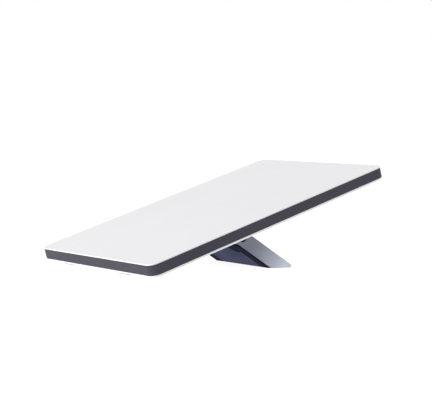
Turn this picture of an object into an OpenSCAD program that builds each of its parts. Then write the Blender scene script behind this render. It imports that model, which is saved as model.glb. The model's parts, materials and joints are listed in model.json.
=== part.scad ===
// Flat-panel satellite antenna on a fold-out kickstand.
// Panel frame: x runs from the low edge to the high edge, y across, z is 0 on the top face and negative below it.
// Leg frame: origin on the hinge axis, x runs down the leg to its foot, z points to the leg's rear side.
// Stand frame: the floor is z = 0, and the origin is under the middle of the whole antenna.

/* [Panel] */
// Length of the panel along its slope
panel_l = 594; // [520:1:720]
// Width of the panel
panel_w = 383; // [330:1:460]
// Corner radius of the panel seen from above
corner_r = 18; // [14:1:30]
// Thickness of the radome sheet
radome_t = 2; // [1.5:0.1:3]
// Chamfer on the radome's top edge
radome_chamfer = 0.8; // [0.3:0.1:1.2]
// Height of the dark side band
band_h = 20; // [18:0.5:26]
// Wall of the side frame
frame_wall = 4; // [3:0.5:5]
// Height of the pale rim under the band
rim_h = 4; // [3:0.5:6]
// Step from the band in to the rim
rim_step = 0.8; // [0.4:0.1:2]
// Full depth of the panel, from top face to plateau
panel_depth = 39.7; // [37:0.1:52]
// Width of the sloping skirt round the plateau
skirt_w = 51; // [44:1:70]
// Wall of the back cover
cover_wall = 2.2; // [2:0.1:4]

/* [Stack inside the panel] */
// Height of the spacer lattice under the radome
spacer_h = 5.4; // [4:0.1:6]
// Thickness of the patch antenna sheet
patch_t = 0.6; // [0.4:0.1:1]
// Thickness of the antenna board
board_t = 1.6; // [1.2:0.1:2]
// Height of the beamformer chips
chip_h = 1.2; // [0.8:0.1:1.6]
// Thickness of the thermal pads
thermal_t = 1.2; // [0.8:0.1:1.6]
// Thickness of the heat spreader's plate
spreader_t = 1.2; // [1:0.1:2.5]
// Spacing of the patches and of the lattice cells
patch_pitch = 27; // [20:1:40]

/* [Kickstand] */
// Slope of the panel when it stands on its leg
tilt = 18.44; // [14:0.1:24]
// Angle between the open leg and the panel
leg_open = 48; // [44:1:54]
// Distance of the hinge from the low edge
hinge_x = 291; // [270:1:330]
// Distance of the hinge axis below the plateau
hinge_drop = 12.7; // [12.2:0.1:16]
// Width of the leg over its cheeks
leg_w = 170; // [150:1:204]
// Distance of the leg's front face from the hinge axis
leg_front = 24; // [22:0.5:30]
// Distance of the leg's rear edge from the hinge axis
leg_rear = 10; // [9:0.5:11]
// Thickness of a cheek
cheek_t = 3; // [2.5:0.5:4]
// Width of a black edge strip, over the cheek's edge
strip_w = 22; // [14:1:28]
// Thickness of a black edge strip
strip_t = 2.6; // [2:0.1:3.5]
// Radius of the toe
toe_r = 3.2; // [2:0.2:5]
// Height of a foot pad
pad_h = 6; // [4:0.5:8]

/* [Hinge and latch] */
// Radius of the hinge pin
pin_r = 4; // [3:0.5:4.5]
// Running clearance of the pin in its bushing
pin_clearance = 0.03; // [0.02:0.01:0.08]
// Travel of the latch button
latch_travel = 3; // [2:0.5:3]
// Clearance between sliding and seated pieces
fit = 0.3; // [0.2:0.05:0.4]

/* [Hidden] */
$fn = 64;
eps = 0.01;

// Depths below the top face
band_bottom = radome_t + band_h;
rim_bottom = band_bottom + rim_h;
spacer_top = radome_t;
patch_top = spacer_top + spacer_h;
board_top = patch_top + patch_t;
chip_top = board_top + board_t;
thermal_top = chip_top + chip_h;
spreader_top = thermal_top + thermal_t;
spreader_bottom = spreader_top + spreader_t;
flange_t = 5;
flange_top = band_bottom - flange_t;
flange_w = 14;
stack_gap = 0.5;
stack_in = frame_wall + stack_gap;
cells_x = floor((panel_l - 2 * stack_in) / patch_pitch);
cells_y = floor((panel_w - 2 * stack_in) / patch_pitch);
cover_inside = panel_depth - cover_wall;

// Where the panel meets the floor
bumper_proud = 0.6;
bumper_in = 1;
bumper_l = 14;
bumper_w = 40;
bumper_y = panel_w / 4 - bumper_w / 2;
skirt_slope = (panel_depth - rim_bottom) / (skirt_w - rim_step);

// Place of the panel frame in the stand frame
lift_z = bumper_proud - rim_step * sin(tilt) + rim_bottom * cos(tilt);
low_x = radome_chamfer * sin(tilt);
band_high_x = panel_l * cos(tilt) + band_bottom * sin(tilt);
rim_high_x = (panel_l - rim_step) * cos(tilt) + rim_bottom * sin(tilt);
high_x = max(band_high_x, rim_high_x);
mid_x = (low_x + high_x) / 2;

// Place of the leg frame
hinge_depth = panel_depth + hinge_drop;
hinge_h = hinge_x * sin(tilt) - hinge_depth * cos(tilt) + lift_z;
leg_slope = leg_open - tilt;
foot_lift = 0.4;
cheek_y = leg_w / 2;
cheek_in_y = cheek_y - cheek_t;
cheek_front = leg_front - strip_t;

// Leg pieces
boss_t = 10;
flange_plate_t = 2.4;
web_t = 2.2;
strip_gap = 0.1;
web_edge_y = cheek_y - strip_w - fit;
web_flange_y = cheek_y - strip_w - 10;
web_top = 6;
notch_in = strip_w + 24;
notch_end = 32;
notch_r = 14;
crescent = 4;
head_top = 2;
head_extra = 2.4;
web_flange_top = notch_end + 1;
stop_corner_r = 8;
web_screw_r = 1.5;
web_screw_head_r = 2.6;
web_screw_head_h = 1.6;
web_screw_bite = 1.2;
web_screw_in = strip_w + 5;
pull_bar_r = 4;
foot_start = (strip_t + flange_plate_t) / sin(leg_slope) + 1;

// Hinge stack, measured inwards from the cheek's outer face
cap_r = 10.4;
cap_shift = [1.5, -3];
cap_proud = 1.2;
cap_plug = 1;
head_r = 6.5;
head_h = 2.6;
head_top_u = 1.3;
head_seat = head_top_u + head_h;
counterbore_r = head_r + 0.5;
bushing_r = pin_r + 1.5;
bushing_flange_r = 8.5;
bushing_flange_t = 1;
face_gap = 0.05;
washer_u = boss_t + bushing_flange_t + face_gap;
washer_t = 1;
knuckle_u = washer_u + washer_t;
knuckle_t = 6;
knuckle_r = 11;
disc_u = knuckle_u + knuckle_t;
disc_count = 3;
disc_t = 0.8;
disc_rise = 0.4;
disc_r = 8;
nut_u = disc_u + disc_count * disc_t + disc_rise;
nut_t = 5;
nut_r = 7.5;
pin_end_u = nut_u + nut_t + 1.5;
bore_gap = 0.05;

// Mount rails and shoe
rail_in_y = 45.8;
rail_lip = 4;
rail_web = 8.2;
rail_h = 6.5;
rail_lip_t = 2.5;
rail_low = 32;
rail_high = 24;
shoe_low = 30;
shoe_high = 22;
shoe_top = panel_depth + fit;
tongue_bottom = panel_depth + rail_h - rail_lip_t - fit;
tongue_y = rail_in_y + rail_lip - fit;
neck_y = rail_in_y - fit;
shoe_plate_top = panel_depth + rail_h + fit;
shoe_bottom = shoe_plate_top + 3.5;
mount_screw_r = 2;
mount_screw_head_r = 3.6;
mount_screw_head_h = 2.5;
mount_screw_bite = 6;
mount_screw_y = rail_in_y + rail_lip + rail_web / 2;
mount_screw_x = [-22, 14];
mount_boss_r = 6;

// Latch: a plunger with a cross bar that drops into notches in the rails' lips
plunger_r = 8;
plunger_x = -8;
bar_x = -22;
bar_l = 5;
bar_top = tongue_bottom + 0.1;
bar_bottom = panel_depth + rail_h;
bar_y = rail_in_y + rail_lip - 1;
spring_r = 4.6;
spring_wire = 0.8;
spring_turns = 3.5;
latch_roof = 1.2;
spring_top = shoe_top + latch_roof;
spring_bottom = spring_top + 6;
plunger_top = spring_top + latch_travel + 0.3;
plunger_bottom = shoe_bottom + latch_travel + 0.6;

// Electronics under the spreader
power_x = hinge_x - 109;
power_y = 40;
power_l = 150;
power_w = 150;
boss_r = 4;
power_top = flange_top + 3;
power_bottom = power_top + board_t;
power_screw_r = 1.5;
power_screw_in = 8;
connector_l = 8;
connector_w = 60;
socket_x = power_x + 23;
socket_y = 92;
socket_l = 24;
socket_w = 24;
cavity_l = 16;
cavity_w = 14;
cavity_depth = 15;
socket_flange = 3;
socket_flange_t = 1.6;
seal_t = 0.8;
vent_x = power_x - 32;
vent_y = 92;
vent_r = 6;
vent_lip = 2;
vent_lip_t = 1;

// Cover screws
screw_in = 8;
screw_r = 1.5;
screw_head_r = 3;
screw_head_h = 2;
screw_seat = rim_bottom - 1;
screw_bite = 3.5;
screws_long = 5;
screws_short = 3;
gasket_in = 12;
gasket_w = 1.6;
gasket_t = 1.2;
gasket_play = 0.1;

// ---------------------------------------------------------------- helpers

// Half-angle distance from a corner to its fillet's tangent points
function corner_cut(a, b, c, r) =
    let (
        u = (a - b) / norm(a - b),
        v = (c - b) / norm(c - b),
        half = acos(u * v) / 2
    )
    r / tan(half);

// Points of the round that replaces corner b of the path a, b, c
function corner_arc(a, b, c, r, steps = 8) =
    r <= 0 ? [b] :
    let (
        u = (a - b) / norm(a - b),
        v = (c - b) / norm(c - b),
        half = acos(u * v) / 2,
        start = b + u * corner_cut(a, b, c, r),
        centre = b + (u + v) / norm(u + v) * r / sin(half),
        from = start - centre,
        turn = (u[0] * v[1] - u[1] * v[0] > 0 ? -1 : 1) * (180 - 2 * half)
    )
    [for (i = [0:steps])
        let (t = turn * i / steps)
        centre + [from[0] * cos(t) - from[1] * sin(t), from[0] * sin(t) + from[1] * cos(t)]];

// A closed outline with each corner rounded to its own radius
function rounded(pts, radii) =
    let (n = len(pts))
    [for (i = [0:n - 1])
        each corner_arc(pts[(i + n - 1) % n], pts[i], pts[(i + 1) % n], radii[i])];

module rounded_rect(l, w, r) {
    square([l - 2 * r, w], center = true);
    square([l, w - 2 * r], center = true);
    for (sx = [-1, 1], sy = [-1, 1])
        translate([sx * (l / 2 - r), sy * (w / 2 - r)])
            circle(r);
}

// A plan shape of the panel, drawn in by inset
module panel_outline(inset, r = corner_r) {
    translate([panel_l / 2, 0])
        rounded_rect(panel_l - 2 * inset, panel_w - 2 * inset, max(r - inset, 1));
}

// A plate of the panel's plan between two depths
module layer(inset, from, to, r = corner_r) {
    translate([0, 0, -to])
        linear_extrude(to - from)
            panel_outline(inset, r);
}

// A box between two depths, centred at x and y
module block(x, y, l, w, from, to) {
    translate([x - l / 2, y - w / 2, -to])
        cube([l, w, to - from]);
}

// A disc between two depths
module disc(x, y, r, from, to) {
    translate([x, y, -to])
        cylinder(to - from, r = r);
}

// The panel frame in the stand frame
module in_panel() {
    translate([-mid_x, 0, lift_z])
        rotate([0, -tilt, 0])
            children();
}

// The leg frame, with the leg open
module in_leg() {
    in_panel()
        translate([hinge_x, 0, -hinge_depth])
            rotate([0, leg_open, 0])
                children();
}

// Copies for the left side, as drawn, and for the right side, mirrored
module both_sides() {
    children();
    mirror([0, 1, 0])
        children();
}

// Turns a hinge piece drawn along +z, inwards from the left cheek's outer face, into its place
module on_hinge() {
    in_panel()
        both_sides()
            translate([hinge_x, cheek_y, -hinge_depth])
                rotate([90, 0, 0])
                    children();
}

// Keeps what stands above the floor by lift
module above_floor(lift) {
    intersection() {
        children();
        translate([-panel_l, -panel_w, lift])
            cube([2 * panel_l, 2 * panel_w, panel_l]);
    }
}

// A leg profile, drawn down the leg and to its rear, made thick from y to y + t
module leg_prism(y, t) {
    translate([0, y + t, 0])
        rotate([90, 0, 0])
            linear_extrude(t)
                children();
}

// Distance down the leg at which the level lift above the floor is met, at distance q from the axis
function floor_reach(q, lift) = (hinge_h - lift + q * cos(leg_slope)) / sin(leg_slope);

// ---------------------------------------------------------------- panel shell

module radome() {
    flat = radome_t - radome_chamfer;
    color("white")
        in_panel()
            translate([panel_l / 2, 0, -radome_t]) {
                rotate([90, 0, 90])
                    linear_extrude(panel_l - 2 * corner_r, center = true)
                        radome_section(panel_w / 2, flat);
                rotate([90, 0, 0])
                    linear_extrude(panel_w - 2 * corner_r, center = true)
                        radome_section(panel_l / 2, flat);
                for (sx = [-1, 1], sy = [-1, 1])
                    translate([sx * (panel_l / 2 - corner_r), sy * (panel_w / 2 - corner_r), 0]) {
                        cylinder(flat, r = corner_r);
                        translate([0, 0, flat])
                            cylinder(radome_chamfer, r1 = corner_r, r2 = corner_r - radome_chamfer);
                    }
            }
}

module radome_section(half, flat) {
    polygon([
        [-half, 0],
        [half, 0],
        [half, flat],
        [half - radome_chamfer, radome_t],
        [-half + radome_chamfer, radome_t],
        [-half, flat]
    ]);
}

module side_frame() {
    color([0.27, 0.27, 0.31])
        in_panel()
            difference() {
                layer(0, radome_t, band_bottom);
                layer(frame_wall, radome_t - eps, flange_top);
                layer(frame_wall + flange_w, radome_t - eps, band_bottom + eps);
                cover_screw_places()
                    disc(0, 0, screw_r + bore_gap, band_bottom - screw_bite - 0.3, band_bottom + eps);
            }
}

module cover_gasket() {
    color([0.15, 0.15, 0.16])
        in_panel()
            difference() {
                layer(gasket_in, band_bottom, band_bottom + gasket_t);
                layer(gasket_in + gasket_w, band_bottom - eps, band_bottom + gasket_t + eps);
            }
}

// Outer body of the back cover: rim, skirt and plateau
module cover_body() {
    layer(rim_step, band_bottom, rim_bottom);
    hull() {
        layer(rim_step, rim_bottom - eps, rim_bottom);
        layer(skirt_w, panel_depth - eps, panel_depth, skirt_w + plateau_r());
    }
}

function plateau_r() = 28;

// Inner space of the back cover, one wall inside the skirt and the plateau
module cover_hollow() {
    hollow_in = frame_wall + flange_w;
    hull() {
        layer(hollow_in, band_bottom - 1, skirt_depth(hollow_in) - cover_wall * 1.05);
        layer(skirt_w + 3, cover_inside - eps, cover_inside, skirt_w + 3 + plateau_r());
    }
}

module back_cover() {
    color([0.93, 0.93, 0.95])
        in_panel()
            difference() {
                cover_body();
                cover_hollow();
                difference() {
                    layer(gasket_in - gasket_play, band_bottom - eps, band_bottom + gasket_t);
                    layer(
                        gasket_in + gasket_w + gasket_play,
                        band_bottom - 2 * eps, band_bottom + gasket_t + eps
                    );
                }
                cover_screw_places() {
                    disc(0, 0, screw_r + 0.2, band_bottom - 1, panel_depth);
                    disc(0, 0, screw_head_r + 0.4, screw_seat, panel_depth);
                }
                mount_screw_places()
                    disc(0, 0, mount_screw_r + 0.2, cover_inside - 1, panel_depth + 1);
                block(
                    socket_x, socket_y, socket_l + 2 * fit, socket_w + 2 * fit,
                    cover_inside - 1, panel_depth + 1
                );
                disc(vent_x, vent_y, vent_r + fit, cover_inside - 1, panel_depth + 1);
            }
}

// Places of the cover screws, evenly spaced along each side
module cover_screw_places() {
    run_x = panel_l - 2 * corner_r - 2 * screw_in;
    run_y = panel_w - 2 * corner_r - 2 * screw_in;
    for (i = [0:screws_long - 1], side = [-1, 1])
        translate([corner_r + screw_in + run_x * i / (screws_long - 1), side * (panel_w / 2 - screw_in), 0])
            children();
    for (i = [0:screws_short - 1], end = [-1, 1])
        translate([panel_l / 2 + end * (panel_l / 2 - screw_in), run_y * (i / (screws_short - 1) - 0.5), 0])
            children();
}

module cover_screws() {
    color("silver")
        in_panel()
            cover_screw_places()
                difference() {
                    union() {
                        disc(0, 0, screw_r, band_bottom - screw_bite, screw_seat);
                        disc(0, 0, screw_head_r, screw_seat, screw_seat + screw_head_h);
                    }
                    disc(0, 0, screw_r * 0.8, screw_seat + screw_head_h / 2, screw_seat + screw_head_h + eps);
                }
}

module rest_bumpers() {
    color([0.16, 0.16, 0.17])
        in_panel()
            both_sides()
                leg_prism(bumper_y, bumper_w)
                    polygon([
                        [rim_step + bumper_in, -skirt_depth(rim_step + bumper_in)],
                        [rim_step + bumper_l, -skirt_depth(rim_step + bumper_l)],
                        [rim_step + bumper_l, -floor_depth(rim_step + bumper_l)],
                        [rim_step + bumper_in, -floor_depth(rim_step + bumper_in)]
                    ]);
}

// Depth of the skirt's outer face and of the floor at distance x from the low edge
function skirt_depth(x) = rim_bottom + (x - rim_step) * skirt_slope;
function floor_depth(x) = rim_bottom + bumper_proud / cos(tilt) + (x - rim_step) * tan(tilt);

module vent_plug() {
    color([0.2, 0.2, 0.22])
        in_panel()
            difference() {
                union() {
                    disc(vent_x, vent_y, vent_r, cover_inside - 3, panel_depth);
                    disc(vent_x, vent_y, vent_r + vent_lip, panel_depth, panel_depth + vent_lip_t);
                }
                disc(vent_x, vent_y, vent_r / 3, cover_inside - 4, panel_depth + vent_lip_t + eps);
            }
}

// ---------------------------------------------------------------- antenna stack

// Centre of a cell of the patch grid
function cell_x(i) = panel_l / 2 + (i - (cells_x - 1) / 2) * patch_pitch;
function cell_y(j) = (j - (cells_y - 1) / 2) * patch_pitch;

module radome_spacer() {
    rib = 1.4;
    color([0.85, 0.86, 0.88])
        in_panel()
            difference() {
                translate([0, 0, -patch_top])
                    linear_extrude(spacer_h) {
                        difference() {
                            panel_outline(stack_in);
                            panel_outline(stack_in + 3 * rib);
                        }
                        for (i = [1:cells_x - 1])
                            translate([cell_x(i) - patch_pitch / 2, 0])
                                square([rib, panel_w - 2 * stack_in - rib], center = true);
                        for (j = [1:cells_y - 1])
                            translate([panel_l / 2, cell_y(j) - patch_pitch / 2])
                                square([panel_l - 2 * stack_in - rib, rib], center = true);
                    }
                block(
                    position_x(), position_y(), position_side() + 1, position_side() + 1,
                    spacer_top - 1, patch_top + 1
                );
            }
}

// The position antenna takes one cell of the lattice near the high edge
function position_x() = cell_x(cells_x - 1);
function position_y() = cell_y(0);
function position_side() = patch_pitch - 7;

module position_antenna() {
    color([0.78, 0.7, 0.55])
        in_panel() {
            block(position_x(), position_y(), position_side(), position_side(), patch_top - 4, patch_top);
            disc(position_x(), position_y(), position_side() / 4, patch_top - 4.4, patch_top - 4 + eps);
        }
}

module patch_array() {
    color([0.8, 0.52, 0.3])
        in_panel()
            union() {
                layer(stack_in + 1, board_top - patch_t / 2, board_top);
                translate([0, 0, -board_top + patch_t / 2 - eps])
                    linear_extrude(patch_t / 2 + eps)
                        for (i = [0:cells_x - 1], j = [0:cells_y - 1])
                            if (i < cells_x - 1 || j > 0)
                                translate([cell_x(i), cell_y(j)])
                                    circle(patch_pitch * 0.32, $fn = 24);
            }
}

module antenna_board() {
    color([0.1, 0.35, 0.2])
        in_panel()
            layer(stack_in, board_top, chip_top);
}

// Places of the beamformer chips: one under every fourth cell of the patch grid
module chip_places() {
    for (i = [1:2:cells_x - 2], j = [1:2:cells_y - 2])
        translate([cell_x(i) + patch_pitch / 2, cell_y(j) + patch_pitch / 2, 0])
            children();
}

module beamformer_chips() {
    color([0.12, 0.12, 0.13])
        in_panel()
            chip_places()
                block(0, 0, 9, 9, chip_top, thermal_top);
}

module thermal_pads() {
    color([0.55, 0.6, 0.7])
        in_panel()
            for (i = [1:2:cells_x - 2])
                block(cell_x(i) + patch_pitch / 2, 0, 12, (cells_y - 2) * patch_pitch, thermal_top, spreader_top);
}

module heat_spreader() {
    rib_in = stack_in + 1;
    color([0.75, 0.76, 0.78])
        in_panel()
            difference() {
                union() {
                    layer(rib_in, spreader_top, spreader_bottom);
                    difference() {
                        layer(rib_in, spreader_bottom - eps, flange_top);
                        layer(rib_in + 4, spreader_bottom - 2 * eps, flange_top + eps);
                    }
                    mount_screw_places()
                        disc(0, 0, mount_boss_r, spreader_bottom - eps, cover_inside);
                    power_screw_places()
                        disc(0, 0, boss_r, spreader_bottom - eps, power_top);
                }
                mount_screw_places()
                    disc(0, 0, mount_screw_r + bore_gap, cover_inside - mount_screw_bite - 1, cover_inside + 1);
                power_screw_places()
                    disc(0, 0, power_screw_r + bore_gap, power_top - 3, power_top + 1);
                block(
                    connector_x(), power_y, connector_l + 4, connector_w + 4,
                    spreader_top - 1, flange_top + 1
                );
            }
}

// ---------------------------------------------------------------- electronics

module power_screw_places() {
    for (sx = [-1, 1], sy = [-1, 1])
        translate([
            power_x + sx * (power_l / 2 - power_screw_in),
            power_y + sy * (power_w / 2 - power_screw_in),
            0
        ])
            children();
}

module power_board() {
    color([0.1, 0.3, 0.4])
        in_panel()
            difference() {
                block(power_x, power_y, power_l, power_w, power_top, power_bottom);
                power_screw_places()
                    disc(0, 0, power_screw_r + 0.2, power_top - 1, power_bottom + 1);
            }
}

module board_screws() {
    color("silver")
        in_panel()
            power_screw_places() {
                disc(0, 0, power_screw_r, power_top - 2.6, power_bottom);
                disc(0, 0, power_screw_r * 1.9, power_bottom, power_bottom + 1.6);
            }
}

module power_components() {
    room = cover_inside - power_bottom;
    color([0.25, 0.25, 0.27])
        in_panel() {
            for (i = [0:2])
                block(power_x - 45 + 18 * i, power_y + 42, 13, 13, power_bottom, power_bottom + 0.5 * room);
            for (i = [0:3])
                disc(power_x - 48 + 14 * i, power_y + 22, 5, power_bottom, power_bottom + 0.8 * room);
            block(power_x + 40, power_y - 48, 26, 22, power_bottom, power_bottom + 0.65 * room);
            for (i = [0:1])
                block(power_x + 5, power_y - 42 - 14 * i, 20, 8, power_bottom, power_bottom + 0.3 * room);
        }
}

module shield_can(x, y, l, w) {
    wall = 0.5;
    height = 0.35 * (cover_inside - power_bottom);
    difference() {
        block(x, y, l, w, power_bottom, power_bottom + height);
        block(x, y, l - 2 * wall, w - 2 * wall, power_bottom - 1, power_bottom + height - wall);
    }
}

module shield_cans() {
    color([0.7, 0.71, 0.73])
        in_panel() {
            shield_can(power_x - 42, power_y - 10, 38, 34);
            shield_can(power_x + 10, power_y - 12, 34, 30);
            shield_can(power_x + 12, power_y + 18, 26, 22);
        }
}

// The connector stands midway between two thermal pads
function connector_x() =
    let (i = 2 * floor(((power_x - panel_l / 2) / patch_pitch + (cells_x - 1) / 2) / 2) + 1)
    cell_x(i) - patch_pitch / 2;

module board_connector() {
    color([0.9, 0.88, 0.8])
        in_panel()
            block(connector_x(), power_y, connector_l, connector_w, chip_top, power_top);
}

module cable_socket() {
    color([0.13, 0.13, 0.14])
        in_panel()
            difference() {
                union() {
                    block(socket_x, socket_y, socket_l, socket_w, power_bottom, panel_depth);
                    block(
                        socket_x, socket_y, socket_l + 2 * socket_flange, socket_w + 2 * socket_flange,
                        panel_depth + seal_t, panel_depth + seal_t + socket_flange_t
                    );
                    block(socket_x, socket_y, socket_l, socket_w, panel_depth - eps, panel_depth + seal_t + eps);
                }
                block(
                    socket_x, socket_y, cavity_l, cavity_w,
                    panel_depth + seal_t + socket_flange_t - cavity_depth, panel_depth + seal_t + socket_flange_t + 1
                );
            }
}

module socket_seal() {
    color([0.3, 0.3, 0.32])
        in_panel()
            difference() {
                block(
                    socket_x, socket_y, socket_l + 2 * socket_flange - 1, socket_w + 2 * socket_flange - 1,
                    panel_depth, panel_depth + seal_t
                );
                block(socket_x, socket_y, socket_l + fit, socket_w + fit, panel_depth - 1, panel_depth + seal_t + 1);
            }
}

// ---------------------------------------------------------------- mount and shoe

module mount_screw_places() {
    for (x = mount_screw_x, side = [-1, 1])
        translate([hinge_x + x, side * mount_screw_y, 0])
            children();
}

module rail_section() {
    polygon([
        [rail_in_y + rail_lip, -panel_depth],
        [rail_in_y + rail_lip + rail_web, -panel_depth],
        [rail_in_y + rail_lip + rail_web, -panel_depth - rail_h],
        [rail_in_y, -panel_depth - rail_h],
        [rail_in_y, -panel_depth - rail_h + rail_lip_t],
        [rail_in_y + rail_lip, -panel_depth - rail_h + rail_lip_t]
    ]);
}

// The left rail, with a closed end towards the high edge and a notch for the latch bar
module mount_rail() {
    color([0.2, 0.2, 0.22])
        in_panel()
            difference() {
                union() {
                    translate([hinge_x - rail_low, 0, 0])
                        rotate([90, 0, 90])
                            linear_extrude(rail_low + rail_high)
                                rail_section();
                    translate([hinge_x + rail_high - (rail_high - shoe_high - fit), rail_in_y, -panel_depth - rail_h])
                        cube([rail_high - shoe_high - fit, rail_lip + rail_web, rail_h]);
                }
                translate([hinge_x + bar_x - bar_l / 2 - fit, rail_in_y - 1, -panel_depth - rail_h - 1])
                    cube([bar_l + 2 * fit, rail_lip + 1, rail_h - fit]);
                mount_screw_places() {
                    disc(0, 0, mount_screw_r + 0.2, panel_depth - 1, panel_depth + rail_h + 1);
                    disc(
                        0, 0, mount_screw_head_r + 0.2,
                        panel_depth + rail_h - mount_screw_head_h, panel_depth + rail_h + 1
                    );
                }
            }
}

module left_mount_rail() {
    mount_rail();
}

module right_mount_rail() {
    mirror([0, 1, 0])
        mount_rail();
}

module mount_screws() {
    seat = panel_depth + rail_h - mount_screw_head_h;
    color("silver")
        in_panel()
            mount_screw_places()
                difference() {
                    union() {
                        disc(0, 0, mount_screw_r, cover_inside - mount_screw_bite, seat);
                        disc(0, 0, mount_screw_head_r, seat, seat + mount_screw_head_h - 0.2);
                    }
                    disc(0, 0, mount_screw_r * 0.7, seat + 1, seat + mount_screw_head_h);
                }
}

module kickstand_shoe() {
    color([0.22, 0.22, 0.24])
        in_panel()
            difference() {
                union() {
                    shoe_slab(tongue_y, shoe_top, tongue_bottom);
                    shoe_slab(neck_y, tongue_bottom - eps, shoe_plate_top + eps);
                    shoe_slab(cheek_y - knuckle_u, shoe_plate_top, shoe_bottom);
                    both_sides()
                        translate([hinge_x, cheek_y - knuckle_u, -hinge_depth])
                            rotate([90, 0, 0])
                                linear_extrude(knuckle_t) {
                                    circle(knuckle_r);
                                    translate([-knuckle_r, 0])
                                        square([2 * knuckle_r, hinge_depth - shoe_bottom + eps]);
                                }
                }
                both_sides()
                    translate([hinge_x, cheek_y, -hinge_depth])
                        rotate([90, 0, 0])
                            cylinder(pin_end_u + 2, r = pin_r + bore_gap);
                latch_pocket();
                both_sides()
                    block(
                        hinge_x, cheek_y - (disc_u + pin_end_u + 1) / 2, 2 * nut_r + 3, pin_end_u + 1 - disc_u,
                        shoe_plate_top - 1, hinge_depth
                    );
            }
}

module shoe_slab(half_w, from, to) {
    translate([hinge_x - shoe_low, -half_w, -to])
        cube([shoe_low + shoe_high, 2 * half_w, to - from]);
}

// Room for the latch: a well for the plunger, closed above by a roof, and a slot for the bar
module latch_pocket() {
    disc(hinge_x + plunger_x, 0, plunger_r + fit, shoe_top + latch_roof, shoe_bottom + 1);
    translate([hinge_x + bar_x - bar_l / 2 - fit, -tongue_y - 1, -bar_bottom - fit])
        cube([bar_l + 2 * fit, 2 * tongue_y + 2, bar_bottom + fit - shoe_top + 1]);
    translate([hinge_x + bar_x, -bar_l / 2 - fit, -bar_bottom - fit])
        cube([plunger_x - bar_x, bar_l + 2 * fit, bar_bottom + fit - shoe_top - latch_roof]);
}

module latch_button() {
    color([0.75, 0.3, 0.12])
        in_panel()
            difference() {
                union() {
                    disc(hinge_x + plunger_x, 0, plunger_r, plunger_top, plunger_bottom);
                    block(hinge_x + bar_x, 0, bar_l, 2 * bar_y, bar_top, bar_bottom);
                    translate([hinge_x + bar_x, -bar_l / 2, -bar_bottom])
                        cube([plunger_x - bar_x, bar_l, bar_bottom - plunger_top]);
                }
                disc(hinge_x + plunger_x, 0, spring_r + spring_wire, plunger_top - 1, spring_bottom);
            }
}

// A coil spring swept along a helix
module latch_spring() {
    sides = 8;
    rings = round(spring_turns * 18);
    rise = spring_bottom - spring_top - 2 * spring_wire;
    points = [
        for (i = [0:rings], k = [0:sides - 1])
            let (
                turn = 360 * spring_turns * i / rings,
                side = 360 * k / sides,
                reach = spring_r + spring_wire / 2 * cos(side)
            )
            [
                reach * cos(turn),
                reach * sin(turn),
                rise * i / rings + spring_wire / 2 * sin(side)
            ]
    ];
    walls = [
        for (i = [0:rings - 1], k = [0:sides - 1])
            let (next = (k + 1) % sides)
            [i * sides + k, i * sides + next, (i + 1) * sides + next, (i + 1) * sides + k]
    ];
    ends = [
        [for (k = [sides - 1:-1:0]) k],
        [for (k = [0:sides - 1]) rings * sides + k]
    ];
    color("silver")
        in_panel()
            translate([hinge_x + plunger_x, 0, -spring_bottom + spring_wire])
                polyhedron(points, concat(walls, ends));
}

// ---------------------------------------------------------------- hinge

module hinge_pins() {
    color("silver")
        on_hinge() {
            translate([0, 0, head_top_u])
                cylinder(head_h, r = head_r);
            translate([0, 0, head_seat - eps])
                cylinder(pin_end_u - head_seat + eps, r = pin_r);
        }
}

module hinge_bushings() {
    color([0.75, 0.62, 0.35])
        on_hinge()
            difference() {
                union() {
                    translate([0, 0, head_seat + face_gap])
                        cylinder(boss_t - head_seat, r = bushing_r);
                    translate([0, 0, boss_t])
                        cylinder(bushing_flange_t, r = bushing_flange_r);
                }
                translate([0, 0, -1])
                    cylinder(boss_t + 4, r = pin_r + pin_clearance);
            }
}

module friction_washers() {
    color([0.4, 0.3, 0.22])
        on_hinge()
            translate([0, 0, washer_u])
                difference() {
                    cylinder(washer_t, r = bushing_flange_r);
                    translate([0, 0, -1])
                        cylinder(washer_t + 2, r = pin_r + bore_gap);
                }
}

// Cupped spring washers stacked between knuckle and nut
module disc_springs() {
    color([0.6, 0.6, 0.62])
        on_hinge()
            for (i = [0:disc_count - 1])
                translate([0, 0, disc_u + i * disc_t])
                    rotate_extrude()
                        polygon([
                            [pin_r + bore_gap, disc_rise],
                            [disc_r, 0],
                            [disc_r, disc_t - 0.05],
                            [pin_r + bore_gap, disc_rise + disc_t - 0.05]
                        ]);
}

module lock_nuts() {
    color("silver")
        on_hinge()
            translate([0, 0, nut_u])
                difference() {
                    cylinder(nut_t, r = nut_r, $fn = 6);
                    translate([0, 0, -1])
                        cylinder(nut_t + 2, r = pin_r + bore_gap);
                }
}

// Caps over the pin heads, with each disc set a little down the leg from its plug
module hinge_caps() {
    color([0.12, 0.12, 0.14])
        in_leg()
            both_sides()
                translate([0, cheek_y, 0])
                    rotate([90, 0, 0]) {
                        translate([cap_shift[0], cap_shift[1], -cap_proud])
                            cylinder(cap_proud, r = cap_r);
                        translate([0, 0, -eps])
                            cylinder(cap_plug + eps, r = counterbore_r - bore_gap);
                    }
}

// ---------------------------------------------------------------- leg

// Side outline of the leg: front face, floor edge, toe, rear edge and stop face
module leg_profile() {
    stop_start = [(-cheek_front * cos(leg_open) - leg_rear) / sin(leg_open), -cheek_front];
    polygon(rounded(
        [
            stop_start,
            [floor_reach(-cheek_front, foot_lift), -cheek_front],
            [floor_reach(leg_rear, foot_lift), leg_rear],
            [-leg_rear * tan(leg_open / 2), leg_rear]
        ],
        [stop_corner_r, 1, toe_r, leg_rear]
    ));
}

// The part of the outline round the hinge and the stop face, which is thicker
module stop_profile() {
    intersection() {
        leg_profile();
        union() {
            circle(leg_rear - 0.5);
            translate([-leg_front * 2, -leg_front + strip_t + flange_plate_t])
                square([leg_front * 2, leg_front * 2]);
        }
    }
}

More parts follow.
